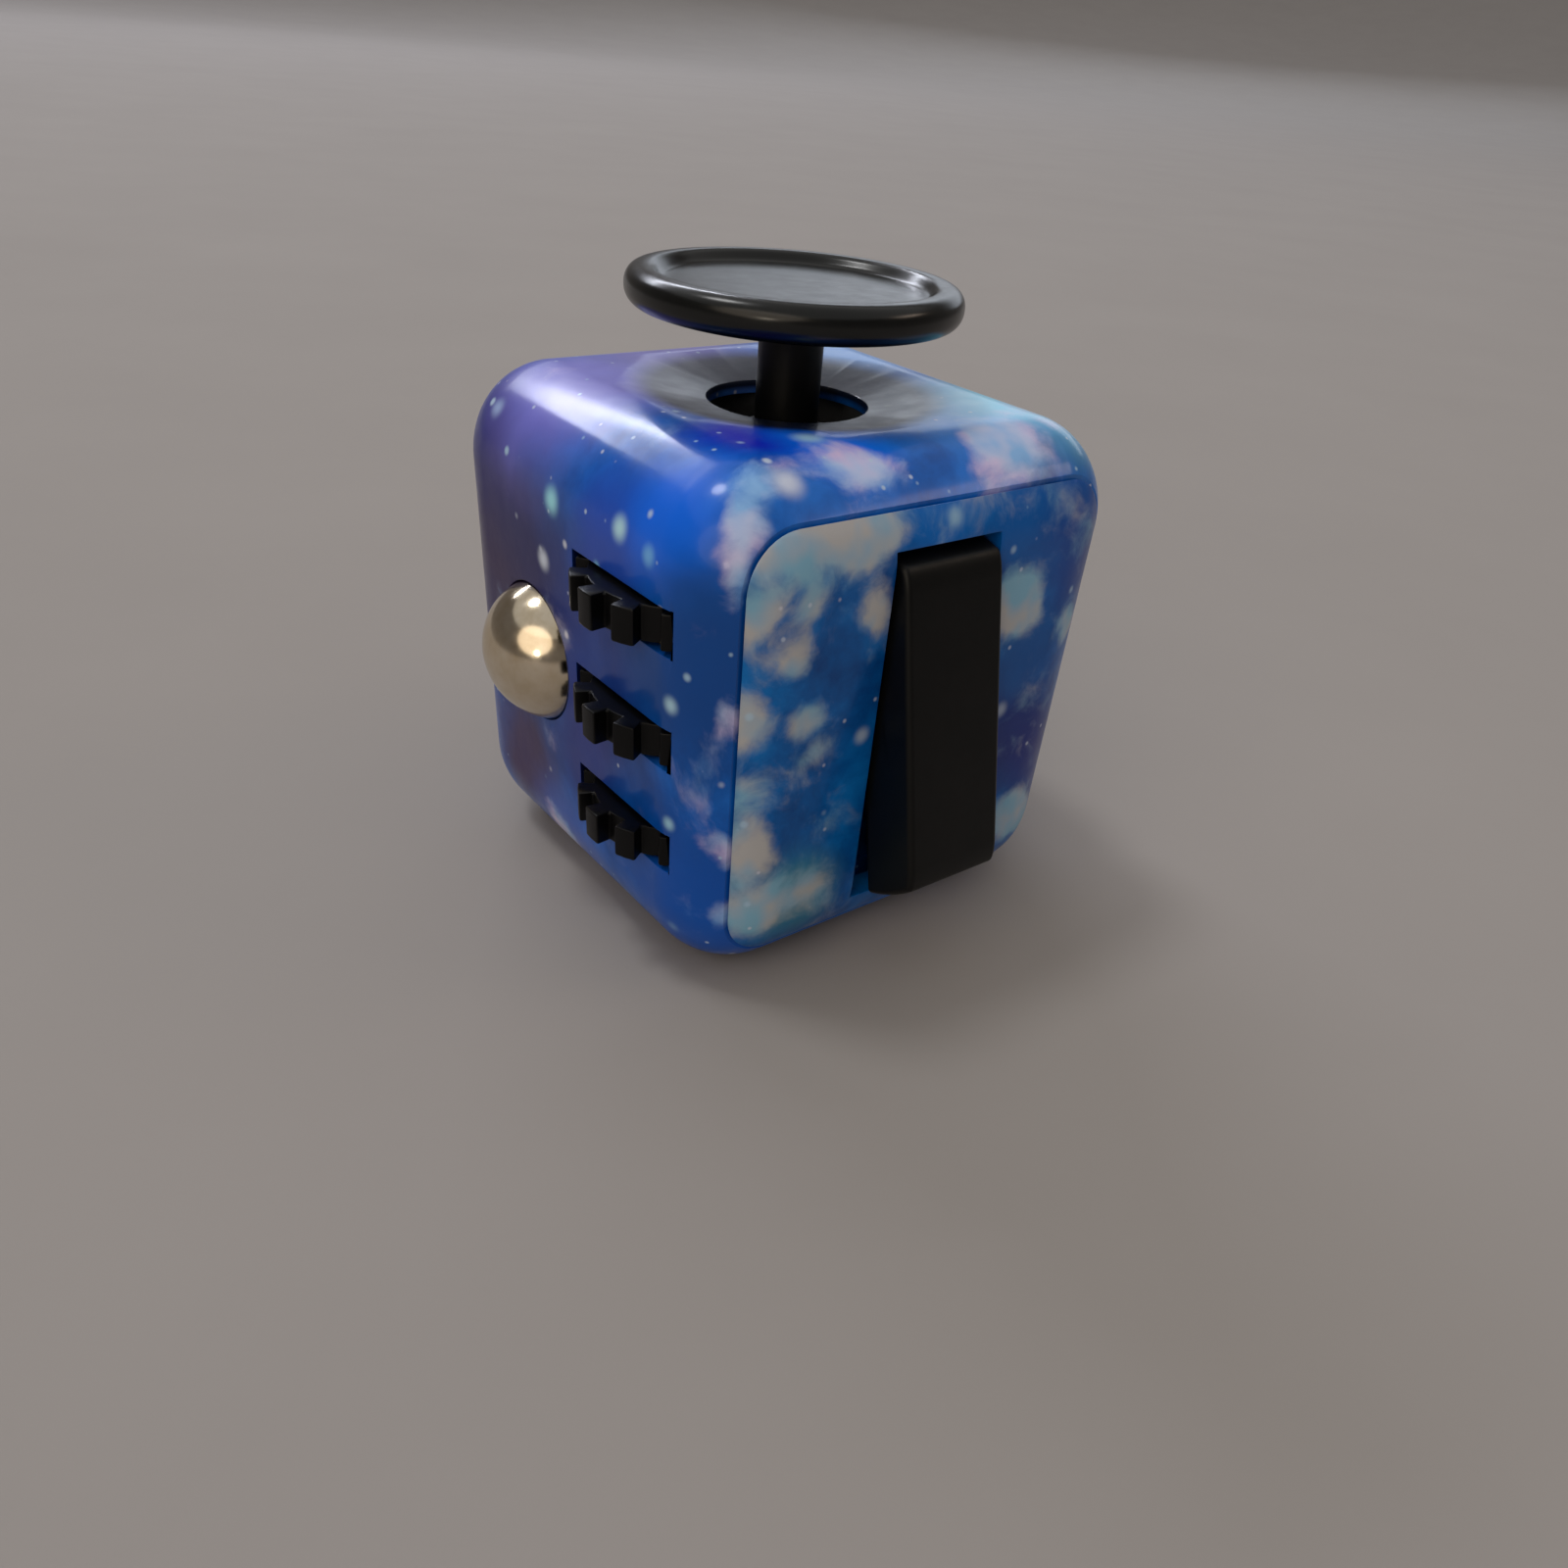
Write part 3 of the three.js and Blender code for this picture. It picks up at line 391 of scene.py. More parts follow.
switchFilm = galaxyFilm({
    "name": "water-transfer galaxy film, switch cover",
    "drift": (0.16, 3.0), "wisp": 0.24, "coat": 0.3, "gloss": (0.3, 0.44),
    "ground": [(0.3, "#00428c"), (0.5, "#0060b4"), (0.7, "#0a7cd4")],
    "zones": [
        ("#0a80e4", (-13.0, -15.0, 15.0), 4.0, 0.9), ("#1070d0", (-1.0, -15.8, 14.0), 4.5, 0.8),
        ("#0860b8", (6.5, -15.8, 13.5), 5.5, 0.8), ("#1c449c", (12.0, -16.0, 10.0), 6.0, 0.8),
        ("#142c80", (9.5, -16.5, -2.5), 6.5, 0.95), ("#242c84", (13.0, -16.0, -5.0), 5.0, 0.7),
        ("#1c58b8", (6.0, -16.0, -14.5), 6.0, 0.8), ("#0054a4", (8.5, -16.5, 3.5), 3.5, 0.8),
        ("#3c8ca8", (-9.5, -16.5, -10.0), 5.0, 0.85),
    ],
    "clouds": [
        ((-13.4, -15.2, 13.6), 3.6, 0.5), ((-10.0, -15.9, 13.9), 3.8, 0.56), ((-6.2, -16.0, 13.3), 3.4, 0.5),
        ((-13.4, -15.9, 10.0), 2.8, 0.36), ((-10.4, -16.5, 10.4), 1.8, 0.3), ((-5.2, -16.5, 9.0), 2.4, 0.44),
        ((-11.0, -16.5, 7.6), 2.4, 0.4), ((-13.8, -15.6, 3.0), 2.8, 0.4), ((-9.9, -16.5, 2.9), 2.2, 0.36),
        ((-13.6, -15.8, -1.0), 2.4, 0.34), ((-8.8, -16.5, 0.4), 1.6, 0.3), ((-13.2, -15.9, -5.6), 3.4, 0.52),
        ((-12.8, -16.0, -10.0), 3.6, 0.5), ((-8.9, -16.5, -9.8), 4.0, 0.28), ((6.2, -16.5, 7.5), 3.4, 0.6),
        ((7.6, -16.5, 5.6), 2.4, 0.4), ((11.3, -16.3, -9.8), 3.6, 0.6), ((12.8, -15.9, 4.5), 3.0, 0.36),
    ],
    "edge": (0.5, 0.86), "cloudStrength": 0.94,
    "cloudTints": [(0.38, "#8cc0dc"), (0.5, "#a8c0d4"), (0.62, "#c4c4c4")],
    "stars": [(3.4, 0.42, 0.55), (2.0, 0.22, 0.5)],
    "bigStars": [
        ("#b4c4dc", (7.3, -16.5, -0.4), 0.9, 0.75), ("#b4c4ec", (6.6, -16.5, -5.2), 0.9, 0.75),
        ("#b0d8f0", (0.4, -16.0, 13.2), 1.0, 0.6), ("#bccce0", (-5.2, -16.5, 0.9), 0.9, 0.75),
    ],
    "bare": [],
})

buttonFilm = galaxyFilm({
    "name": "water-transfer galaxy film, button cover",
    "drift": (0.12, 5.0), "wisp": 0.18, "coat": 0.3, "gloss": (0.3, 0.44),
    "ground": [(0.3, "#1c2c7c"), (0.5, "#2440a0"), (0.7, "#2f68c0")],
    "zones": [
        ("#4a2f7a", (-8.0, 16.5, 6.0), 9.0, 0.8), ("#0f5cae", (9.0, 16.5, 8.0), 8.0, 0.8),
        ("#36286c", (6.0, 16.5, -9.0), 9.0, 0.7), ("#1470c4", (-10.0, 16.5, -10.0), 7.0, 0.7),
    ],
    "clouds": [
        ((0.0, 16.5, 9.5), 5.0, 0.28), ((10.5, 16.5, 0.0), 4.5, 0.28), ((-11.0, 16.5, -2.0), 4.0, 0.26),
        ((2.0, 16.5, -12.5), 5.0, 0.28), ((-13.0, 16.0, 12.0), 4.0, 0.24),
    ],
    "edge": (0.58, 0.78), "cloudStrength": 0.8,
    "cloudTints": [(0.38, "#a0b4e0"), (0.5, "#c8c0e4"), (0.62, "#e0c4d6")],
    "stars": [(3.8, 0.42, 0.7), (2.2, 0.2, 0.55)],
    "bigStars": [
        ("#8fdcff", (-4.0, 16.5, 11.8), 0.9, 0.85), ("#cfe0ff", (12.0, 16.5, 12.0), 0.9, 0.8),
        ("#8fe8f8", (4.2, 16.5, -3.8), 0.7, 0.8), ("#9ad8ff", (-12.2, 16.5, 3.4), 0.8, 0.8),
    ],
    "bare": [],
})

print("plastics, steel and rubber")
# grain is the size of the mould texture in mm; gleam is the strength of the plain reflection


def mouldedPlastic(plastic):
    material, tree, surface, place = newFinish(plastic["name"])
    flow = addNode(tree, "TexNoise", {"Scale": 0.25, "Detail": 4.0, "Roughness": 0.6}, {"Vector": place})
    tone = addNode(tree, "ValToRGB", {"stops": [(0.35, plastic["dark"]), (0.65, plastic["light"])]},
                   {"Fac": flow.outputs["Fac"]})
    touch = addNode(tree, "TexNoise", {"Scale": 0.7, "Detail": 5.0, "Roughness": 0.65}, {"Vector": place})
    haze = addNode(tree, "MapRange", {"From Min": 0.3, "From Max": 0.7, "To Min": plastic["rough"][0],
                                      "To Max": plastic["rough"][1]}, {"Value": touch.outputs["Fac"]})
    grain = addNode(tree, "TexNoise", {"Scale": 1 / plastic["grain"], "Detail": 2.0}, {"Vector": place})
    sink = addNode(tree, "TexNoise", {"Scale": 0.18, "Detail": 0.0}, {"Vector": place})
    wide = addNode(tree, "Bump", {"Strength": 0.4, "Distance": 0.05 * mm}, {"Height": sink.outputs["Fac"]})
    fine = addNode(tree, "Bump", {"Strength": plastic["texture"], "Distance": 0.02 * mm},
                   {"Height": grain.outputs["Fac"], "Normal": wide.outputs["Normal"]})
    tree.links.new(tone.outputs["Color"], surface.inputs["Base Color"])
    tree.links.new(haze.outputs["Result"], surface.inputs["Roughness"])
    tree.links.new(fine.outputs["Normal"], surface.inputs["Normal"])
    surface.inputs["IOR"].default_value = plastic["ior"]
    surface.inputs["Specular IOR Level"].default_value = plastic["gleam"]
    return material


# injection-moulded ABS off a polished tool: near black, with clear soft-edged reflections
glossAbs = mouldedPlastic({"name": "moulded black ABS, polished", "dark": "#060807", "light": "#0c0e0d",
                           "rough": (0.2, 0.27), "grain": 0.6, "texture": 0.02, "ior": 1.54, "gleam": 0.35})
# the same ABS off a fine sparked tool: black that greys a little where light grazes it
satinAbs = mouldedPlastic({"name": "moulded black ABS, satin", "dark": "#050606", "light": "#0a0a0a",
                           "rough": (0.36, 0.46), "grain": 0.15, "texture": 0.12, "ior": 1.5, "gleam": 0.22})
# acetal gears: waxy black, duller than ABS
blackAcetal = mouldedPlastic({"name": "moulded black acetal", "dark": "#030304", "light": "#070708",
                              "rough": (0.3, 0.42), "grain": 0.2, "texture": 0.1, "ior": 1.48, "gleam": 0.2})
# inner workings in natural grey acetal
greyAcetal = mouldedPlastic({"name": "moulded grey acetal", "dark": "#4a4d52", "light": "#5e6268",
                             "rough": (0.4, 0.55), "grain": 0.15, "texture": 0.2, "ior": 1.48,
                             "gleam": 0.5})
# silicone keypad domes: matt milky white
siliconeRubber = mouldedPlastic({"name": "moulded white silicone rubber", "dark": "#c9c8c0",
                                 "light": "#dddcd4", "rough": (0.6, 0.75), "grain": 0.1, "texture": 0.2,
                                 "ior": 1.41, "gleam": 0.5})
siliconeRubber.node_tree.nodes["Principled BSDF"].inputs["Subsurface Weight"].default_value = 0.08


def finishedSteel(steel):
    material, tree, surface, place = newFinish(steel["name"])
    stain = addNode(tree, "TexNoise", {"Scale": 0.6, "Detail": 4.0, "Roughness": 0.6}, {"Vector": place})
    tone = addNode(tree, "ValToRGB", {"stops": [(0.35, steel["dark"]), (0.65, steel["light"])]},
                   {"Fac": stain.outputs["Fac"]})
    along = addNode(tree, "Mapping", {"Scale": steel["marks"]}, {"Vector": place})
    marks = addNode(tree, "TexNoise", {"Scale": 1.0, "Detail": 3.0, "Roughness": 0.6},
                    {"Vector": along.outputs["Vector"]})
    haze = addNode(tree, "MapRange", {"From Min": 0.3, "From Max": 0.7, "To Min": steel["rough"][0],
                                      "To Max": steel["rough"][1]}, {"Value": marks.outputs["Fac"]})
    scratch = addNode(tree, "Bump", {"Strength": steel["depth"], "Distance": 0.004 * mm},
                      {"Height": marks.outputs["Fac"]})
    tree.links.new(tone.outputs["Color"], surface.inputs["Base Color"])
    tree.links.new(haze.outputs["Result"], surface.inputs["Roughness"])
    tree.links.new(scratch.outputs["Normal"], surface.inputs["Normal"])
    surface.inputs["Metallic"].default_value = 1.0
    return material


# lapped chrome steel, mirror bright; its faint gold tint is a painted reflection of a warm room
ballSteel = finishedSteel({"name": "lapped ball steel, warm painted reflection", "dark": "#d6c6aa", "light": "#e4d8c2",
                           "rough": (0.12, 0.19), "marks": (1.2, 1.2, 1.2), "depth": 0.1})
# zinc-plated screws and shaft: cool bright grey with turning marks
zincSteel = finishedSteel({"name": "zinc-plated turned steel", "dark": "#a9aaa8", "light": "#c0c0ba",
                           "rough": (0.25, 0.4), "marks": (9.0, 9.0, 9.0), "depth": 0.3})
# drawn spring wire: darker, with fine die lines
springWire = finishedSteel({"name": "drawn spring steel wire", "dark": "#85868a", "light": "#a3a4a6",
                            "rough": (0.22, 0.36), "marks": (7.0, 7.0, 7.0), "depth": 0.25})
# pressed stainless snap domes and washer
stainlessSheet = finishedSteel({"name": "pressed stainless sheet", "dark": "#b4b2ac", "light": "#c6c4be",
                                "rough": (0.18, 0.3), "marks": (2.0, 14.0, 2.0), "depth": 0.2})


def boardLaminate():  # glass-fibre laminate: a green lacquer with the 0.5 mm cloth just showing
    material, tree, surface, place = newFinish("fibreglass laminate, green lacquer")
    weave = addNode(tree, "TexBrick", {"offset": 0.5, "Scale": 1.0, "Brick Width": 0.5, "Row Height": 0.5,
                                       "Mortar Size": 0.06, "Color1": linear("#27543a"),
                                       "Color2": linear("#2f6044"), "Mortar": linear("#1c4230")})
    turned = addNode(tree, "Mapping", {"Rotation": (math.pi / 2, 0, 0)}, {"Vector": place})
    tree.links.new(turned.outputs["Vector"], weave.inputs["Vector"])
    lacquer = addNode(tree, "TexNoise", {"Scale": 1.5, "Detail": 3.0}, {"Vector": place})
    sheen = addNode(tree, "MapRange", {"To Min": 0.28, "To Max": 0.45}, {"Value": lacquer.outputs["Fac"]})
    cloth = addNode(tree, "Bump", {"Strength": 0.2, "Distance": 0.02 * mm}, {"Height": weave.outputs["Fac"]})
    tree.links.new(weave.outputs["Color"], surface.inputs["Base Color"])
    tree.links.new(sheen.outputs["Result"], surface.inputs["Roughness"])
    tree.links.new(cloth.outputs["Normal"], surface.inputs["Normal"])
    surface.inputs["IOR"].default_value = 1.55
    return material


greenLaminate = boardLaminate()

print("four-walled shell")
shell = {"side": 33.0, "corner": 5.9, "wall": 1.6, "seam": 15.325, "opening": 12.9, "openingCorner": 2.6,
         "steps": 24, "edge": 0.08}
body = roundBlock(shell["side"], shell["corner"], shell["steps"], 7)
for side in (-1, 1):
    body = trim(body, spot(0, side * shell["seam"], 0), (0, side, 0), 0.001)
inside = shell["side"] / 2 - shell["wall"]
carve(body, roundBlock(inside * 2, shell["corner"] - shell["wall"], 8))
carve(body, squareBar(shell["opening"], shell["openingCorner"], -beyond, beyond))

gears = {"axis": (-12.4, -6.6), "heights": (7.75, 0.5, -6.75), "slotRadius": 6.75, "slotHeight": 2.7,
         "root": 5.4, "tip": 6.4, "teeth": 13, "thick": 2.2, "edge": 0.16, "bore": 1.3,
         "rib": 1.2, "ribReach": 2.0, "shaftEnds": (-12.0, 12.9)}
gearX, gearY = gears["axis"]
reach, halfRib = gears["ribReach"], gears["rib"] / 2
for ribZ in (gears["heights"][0] + 2.0, gears["heights"][2] - 2.0):  # ribs that carry the gear shaft
    rib = block([-inside - overlap, gearY - reach, ribZ - halfRib],
                [gearX + reach, gearY + reach, ribZ + halfRib])
    carve(body, rib, "UNION")
bosses = {"reach": 8.0, "radius": 2.0, "low": 12.6, "hole": 0.95, "holeLow": 11.0}
bossPlaces = [(sx * bosses["reach"], sy * bosses["reach"]) for sx in (-1, 1) for sy in (-1, 1)]
for x, y in bossPlaces:
    carve(body, rod(bosses["radius"], (x, y, bosses["low"]), (x, y, inside + overlap), sides=32), "UNION")
detent = {"back": 12.4, "reach": 3.9, "width": 1.4, "heights": (5.2, 7.0)}
for side in (-1, 1):  # posts for the dial's detent spring
    y, (low, high) = side * detent["reach"], detent["heights"]
    near, far = y - detent["width"] / 2, y + detent["width"] / 2
    carve(body, block([detent["back"], near, low], [inside + overlap, far, high]), "UNION")
dish = {"radius": 9.5, "depth": 1.5, "floor": 11.0, "floorThick": 1.2}
carve(body, rod(dish["floor"], (0, 0, -inside - overlap), (0, 0, -inside + dish["floorThick"])), "UNION")

joystick = {"hole": 5.2, "ring": 10.3, "ringDepth": 0.8}
slope = joystick["ringDepth"] / (joystick["ring"] - joystick["hole"])
rise = 1.0  # the cone runs on above the wall
bpy.ops.mesh.primitive_cone_add(
    vertices=128, radius1=joystick["hole"] * mm, radius2=(joystick["ring"] + rise / slope) * mm,
    depth=(joystick["ringDepth"] + rise) * mm,
    location=spot(0, 0, shell["side"] / 2 + (rise - joystick["ringDepth"]) / 2))
carve(body, bpy.context.object)
carve(body, rod(joystick["hole"], (0, 0, 13), (0, 0, 18), sides=96))
dialSeat = {"recess": 10.4, "recessFloor": 15.7, "hole": 2.6, "holeFrom": 13.9, "outside": 18.0}
for radius, floor, sides in ((dialSeat["recess"], dialSeat["recessFloor"], 128),
                             (dialSeat["hole"], dialSeat["holeFrom"], 64)):
    carve(body, rod(radius, (floor, 0, 0), (dialSeat["outside"], 0, 0), alongX, sides))
for z in gears["heights"]:
    half = gears["slotHeight"] / 2
    carve(body, rod(gears["slotRadius"], (gearX, gearY, z - half), (gearX, gearY, z + half), sides=96))
shaftLow, shaftHigh = gears["shaftEnds"]
carve(body, rod(gears["bore"], (gearX, gearY, shaftLow), (gearX, gearY, shaftHigh), sides=32))
ballSpot = (-15.1, 4.6, 0.25)
ballHole = {"outer": 4.56, "inner": 5.04, "depth": 2.56, "middle": -15.7}  # it narrows towards the outside
bpy.ops.mesh.primitive_cone_add(
    vertices=96, radius1=ballHole["outer"] * mm, radius2=ballHole["inner"] * mm, depth=ballHole["depth"] * mm,
    location=spot(ballHole["middle"], ballSpot[1], ballSpot[2]), rotation=alongX)
carve(body, bpy.context.object)
for x, y in bossPlaces:
    carve(body, rod(bosses["hole"], (x, y, bosses["holeLow"]), (x, y, inside), sides=24))
sphere = (dish["radius"] ** 2 + dish["depth"] ** 2) / (2 * dish["depth"])
bpy.ops.mesh.primitive_uv_sphere_add(segments=192, ring_count=128, radius=sphere * mm,
                                     location=spot(0, 0, -shell["side"] / 2 + dish["depth"] - sphere))
carve(body, bpy.context.object)
softenEdges(body, shell["edge"], 2, 55, 0.04)
finishPiece(body, "printed_shell", "casing", "printed_shell", wrapFilm, "main_shell")

print("front and rear covers")
cover = {"seam": 15.475, "plug": 12.6, "plugCorner": 2.3, "plugDepth": 1.1, "slot": (8.3, 23.8), "edge": 0.08,
         "lugs": (4.5, 5.7), "lugHeight": 3.6, "pinBore": 1.1, "pinReach": 7.0, "screwHole": 0.95,
         "screws": ((-7.2, 3.8), (7.2, -3.8))}
rockerPivot = (0.0, -13.5, 0.0)


def coverBlank(side):  # the end of the rounded cube and the plug behind it
    end = roundBlock(shell["side"], shell["corner"], shell["steps"], 7)
    trim(end, spot(0, side * cover["seam"], 0), (0, -side, 0), 0.001)
    near, far = cover["seam"] + 0.2, cover["seam"] - cover["plugDepth"]
    low, high = sorted((side * near, side * far))
    return carve(end, squareBar(cover["plug"], cover["plugCorner"], low, high), "UNION")


plugBack = cover["seam"] - cover["plugDepth"]
front = coverBlank(-1)
for side in (-1, 1):  # lugs that hold the rocker's pins
    near, far = sorted(side * reach for reach in cover["lugs"])
    lugZ = cover["lugHeight"] / 2
    carve(front, block([near, -plugBack - overlap, -lugZ], [far, rockerPivot[1] + 1.5, lugZ]), "UNION")
slotX, slotZ = cover["slot"][0] / 2, cover["slot"][1] / 2
carve(front, block([-slotX, -18, -slotZ], [slotX, -8, slotZ]))
pinX, pinY = cover["pinReach"], rockerPivot[1]
carve(front, rod(cover["pinBore"], (-pinX, pinY, 0), (pinX, pinY, 0), alongX, 32))
for x, z in cover["screws"]:
    carve(front, rod(cover["screwHole"], (x, -plugBack - 1.2, z), (x, -plugBack + 1, z), alongY, 24))
softenEdges(front, cover["edge"], 2, 55, 0.02)
finishPiece(front, "printed_switch_cover", "casing", "printed_shell", switchFilm, "switch_cover")

buttons = {"places": ((7.8, 7.8), (-7.8, 7.8), (-7.8, -7.8), (7.8, -7.8), (0.0, 0.0)), "radius": 3.7,
           "hole": 3.95, "flange": 4.6, "crown": 18.2, "back": 13.2, "ledge": 14.075, "edge": 0.55}
board = {"posts": ((0.0, 10.3), (0.0, -10.3), (10.3, 0.0)), "post": 1.7, "postEnd": 11.8, "holeEnd": 11.5}
rear = coverBlank(1)
for x, z in board["posts"]:
    carve(rear, rod(board["post"], (x, board["postEnd"], z), (x, plugBack + overlap, z), alongY, 32), "UNION")
for x, z in buttons["places"]:
    carve(rear, rod(buttons["hole"], (x, 13, z), (x, 18, z), alongY, 72))
for x, z in board["posts"]:
    carve(rear, rod(cover["screwHole"], (x, board["holeEnd"], z), (x, plugBack + 0.9, z), alongY, 24))
softenEdges(rear, cover["edge"], 2, 55, 0.02)
finishPiece(rear, "printed_button_cover", "casing", "printed_shell", buttonFilm, "button_cover")

print("joystick")
disc = {"radius": 10.35, "under": 20.7, "top": 22.75, "rim": 1.7, "slope": 0.5, "dish": 0.6,
        "rounding": 0.95, "dishRounding": 0.28, "socket": 1.45, "socketTop": 21.75}
cap = rod(disc["radius"], (0, 0, disc["under"]), (0, 0, disc["top"]), sides=160)
openUp(cap)
pick("FACE", lambda face: facesTo(face, 2))
bpy.ops.mesh.inset(thickness=disc["rim"] * mm, depth=0)
bpy.ops.mesh.inset(thickness=disc["slope"] * mm, depth=-disc["dish"] * mm)
bpy.ops.mesh.inset(thickness=0.8 * mm, depth=0)  # keeps the shading of the flat even
pick("EDGE", lambda edge: len(edge.link_faces) == 2 and edge.calc_face_angle(0) > 1.2
     and edge.verts[0].co.xy.length > (disc["radius"] - 0.1) * mm)
bpy.ops.mesh.bevel(offset=disc["rounding"] * mm, segments=8, profile=0.5, affect="EDGES")
pick("EDGE", lambda edge: len(edge.link_faces) == 2 and edge.calc_face_angle(0) > 0.6)
bpy.ops.mesh.bevel(offset=disc["dishRounding"] * mm, segments=4, profile=0.5, affect="EDGES")
closeUp()
carve(cap, rod(disc["socket"], (0, 0, 19), (0, 0, disc["socketTop"]), sides=48))
finishPiece(cap, "joystick_cap", "joystick", "black_plastic", glossAbs, "joystick_disc")

stem = {"radius": 2.05, "low": 5.0, "shoulder": 20.55, "spigot": 1.3, "spigotTop": 21.6,
        "dome": 7.7, "skin": 0.8, "reach": 50.0, "pivot": 7.0, "foot": 0.5, "pinBore": 0.75, "edge": 0.12}
post = rod(stem["radius"], (0, 0, stem["low"]), (0, 0, stem["shoulder"]), sides=64)
openUp(post)
pick("FACE", lambda face: facesTo(face, 2))
bpy.ops.mesh.inset(thickness=(stem["radius"] - stem["spigot"]) * mm, depth=0)
spigotLength = (stem["spigotTop"] - stem["shoulder"]) * mm
bpy.ops.mesh.extrude_region_move(TRANSFORM_OT_translate={"value": (0, 0, spigotLength)})
pick("EDGE", lambda edge: 1.2 < edge.calc_face_angle(0) < 1.7
     and edge.verts[0].co.z < 0 and edge.verts[1].co.z < 0)
bpy.ops.mesh.bevel(offset=stem["foot"] * mm, segments=4, profile=0.5, affect="EDGES")
closeUp()
bpy.ops.mesh.primitive_uv_sphere_add(segments=96, ring_count=64, radius=stem["dome"] * mm,
                                     location=spot(0, 0, stem["pivot"]))
dome = bpy.context.object
openUp(dome)
edgeZ = stem["pivot"] + stem["dome"] * math.cos(math.radians(stem["reach"]))
bpy.ops.mesh.bisect(plane_co=spot(0, 0, edgeZ), plane_no=(0, 0, -1), use_fill=False, clear_outer=True)
closeUp()
bpy.ops.object.modifier_add(type="SOLIDIFY")
dome.modifiers[-1].thickness = stem["skin"] * mm
dome.modifiers[-1].offset = -1
bpy.ops.object.modifier_apply(modifier=dome.modifiers[-1].name)
carve(post, dome, "UNION")
carve(post, rod(stem["pinBore"], (0, -5, stem["pivot"]), (0, 5, stem["pivot"]), alongY, 32))
softenEdges(post, stem["edge"])
finishPiece(post, "joystick_post", "joystick", "black_plastic", satinAbs, "joystick_stem")

print("flip rocker")
rocker = {"reach": 11.6, "front": 6.07, "back": 1.5, "width": 7.8, "corner": 1.35, "side": 0.4, "tilt": -13.4,
          "hub": 2.4, "pinBore": 1.1, "plungerBore": 1.25}
px, py, pz = rockerPivot
paddle = rod(rocker["reach"], (-rocker["width"] / 2, py, 0), (rocker["width"] / 2, py, 0), alongX, 160)
trim(paddle, spot(0, py - rocker["front"], 0), (0, -1, 0))
trim(paddle, spot(0, py - rocker["back"], 0), (0, 1, 0))
openUp(paddle)
pick("EDGE", lambda edge: runsAlong(edge, 0) and edge.calc_face_angle(0) > 0.4
     and edge.verts[0].co.y < -(rocker["front"] - 0.1) * mm)
bpy.ops.mesh.bevel(offset=rocker["corner"] * mm, segments=8, profile=0.5, affect="EDGES")
closeUp()
softenEdges(paddle, rocker["side"], 4, 50)
hubEnd = rocker["width"] / 2 - 0.4
carve(paddle, rod(rocker["hub"], (-hubEnd, py, 0), (hubEnd, py, 0), alongX, 64), "UNION")
for side in (-1, 1):
    near, far = sorted((side * 2, side * 5))
    carve(paddle, rod(rocker["pinBore"], (near, py, 0), (far, py, 0), alongX, 32))
carve(paddle, rod(rocker["plungerBore"], (0, py - 3, 0), (0, py + 4, 0), alongY, 32))
openUp(paddle)
bpy.ops.transform.rotate(value=math.radians(-rocker["tilt"]), orient_axis="X",
                         center_override=spot(px, py, pz))
closeUp()
finishPiece(paddle, "rocker_paddle", "rocker", "black_plastic", satinAbs, "flip_rocker")

print("gears and ball")


def gearWheel(z):
    steps = 4  # faces to a tooth and its gap; two of the four are drawn out
    bpy.ops.mesh.primitive_cylinder_add(vertices=gears["teeth"] * steps, radius=gears["root"] * mm,
                                        depth=gears["thick"] * mm, location=spot(gearX, gearY, z))
    wheel = bpy.context.object
    openUp(wheel)
    pitch = 2 * math.pi / gears["teeth"]

    def inTooth(face):
        middleOf = face.calc_center_median()
        turn = (math.atan2(middleOf.y, middleOf.x) / pitch) % 1.0
        return abs(face.normal.z) < 0.1 and 0.25 < turn < 0.75

    pick("FACE", inTooth)
    bpy.ops.mesh.extrude_region_move()
    grow = gears["tip"] / gears["root"]
    bpy.ops.transform.resize(value=(grow, grow, 1), center_override=spot(gearX, gearY, z))
    for side in (-1, 1):
        pick("FACE", lambda face: facesTo(face, 2, side) and face.calc_area() > 20 * mm * mm)
        bpy.ops.mesh.inset(thickness=(gears["root"] - gears["bore"]) * mm, depth=0)
    pick("FACE", lambda face: abs(face.normal.z) > 0.99 and face.calc_center_median().xy.length < 0.5 * mm)
    bpy.ops.mesh.bridge_edge_loops()
    closeUp()
    softenEdges(wheel, gears["edge"], 2, 25)
    return wheel


for name, z in zip(("upper", "middle", "lower"), gears["heights"]):
    finishPiece(gearWheel(z), f"gear_wheel_{name}", f"{name}_gear", "black_plastic", blackAcetal,
                f"gear_{name}")

ballRadius = 4.76
bpy.ops.mesh.primitive_cube_add(size=2 * ballRadius * mm, location=spot(*ballSpot))
marble = bpy.context.object
openUp(marble)
bpy.ops.mesh.subdivide(number_cuts=28)
closeUp()
bpy.ops.object.modifier_add(type="CAST")
rounding = marble.modifiers[-1]
rounding.cast_type, rounding.factor, rounding.use_radius_as_size = "SPHERE", 1.0, False
rounding.size = ballRadius * mm
bpy.ops.object.modifier_apply(modifier=rounding.name)
finishPiece(marble, "bearing_ball", "ball", "polished_steel", ballSteel, "steel_ball")

print("buttons")


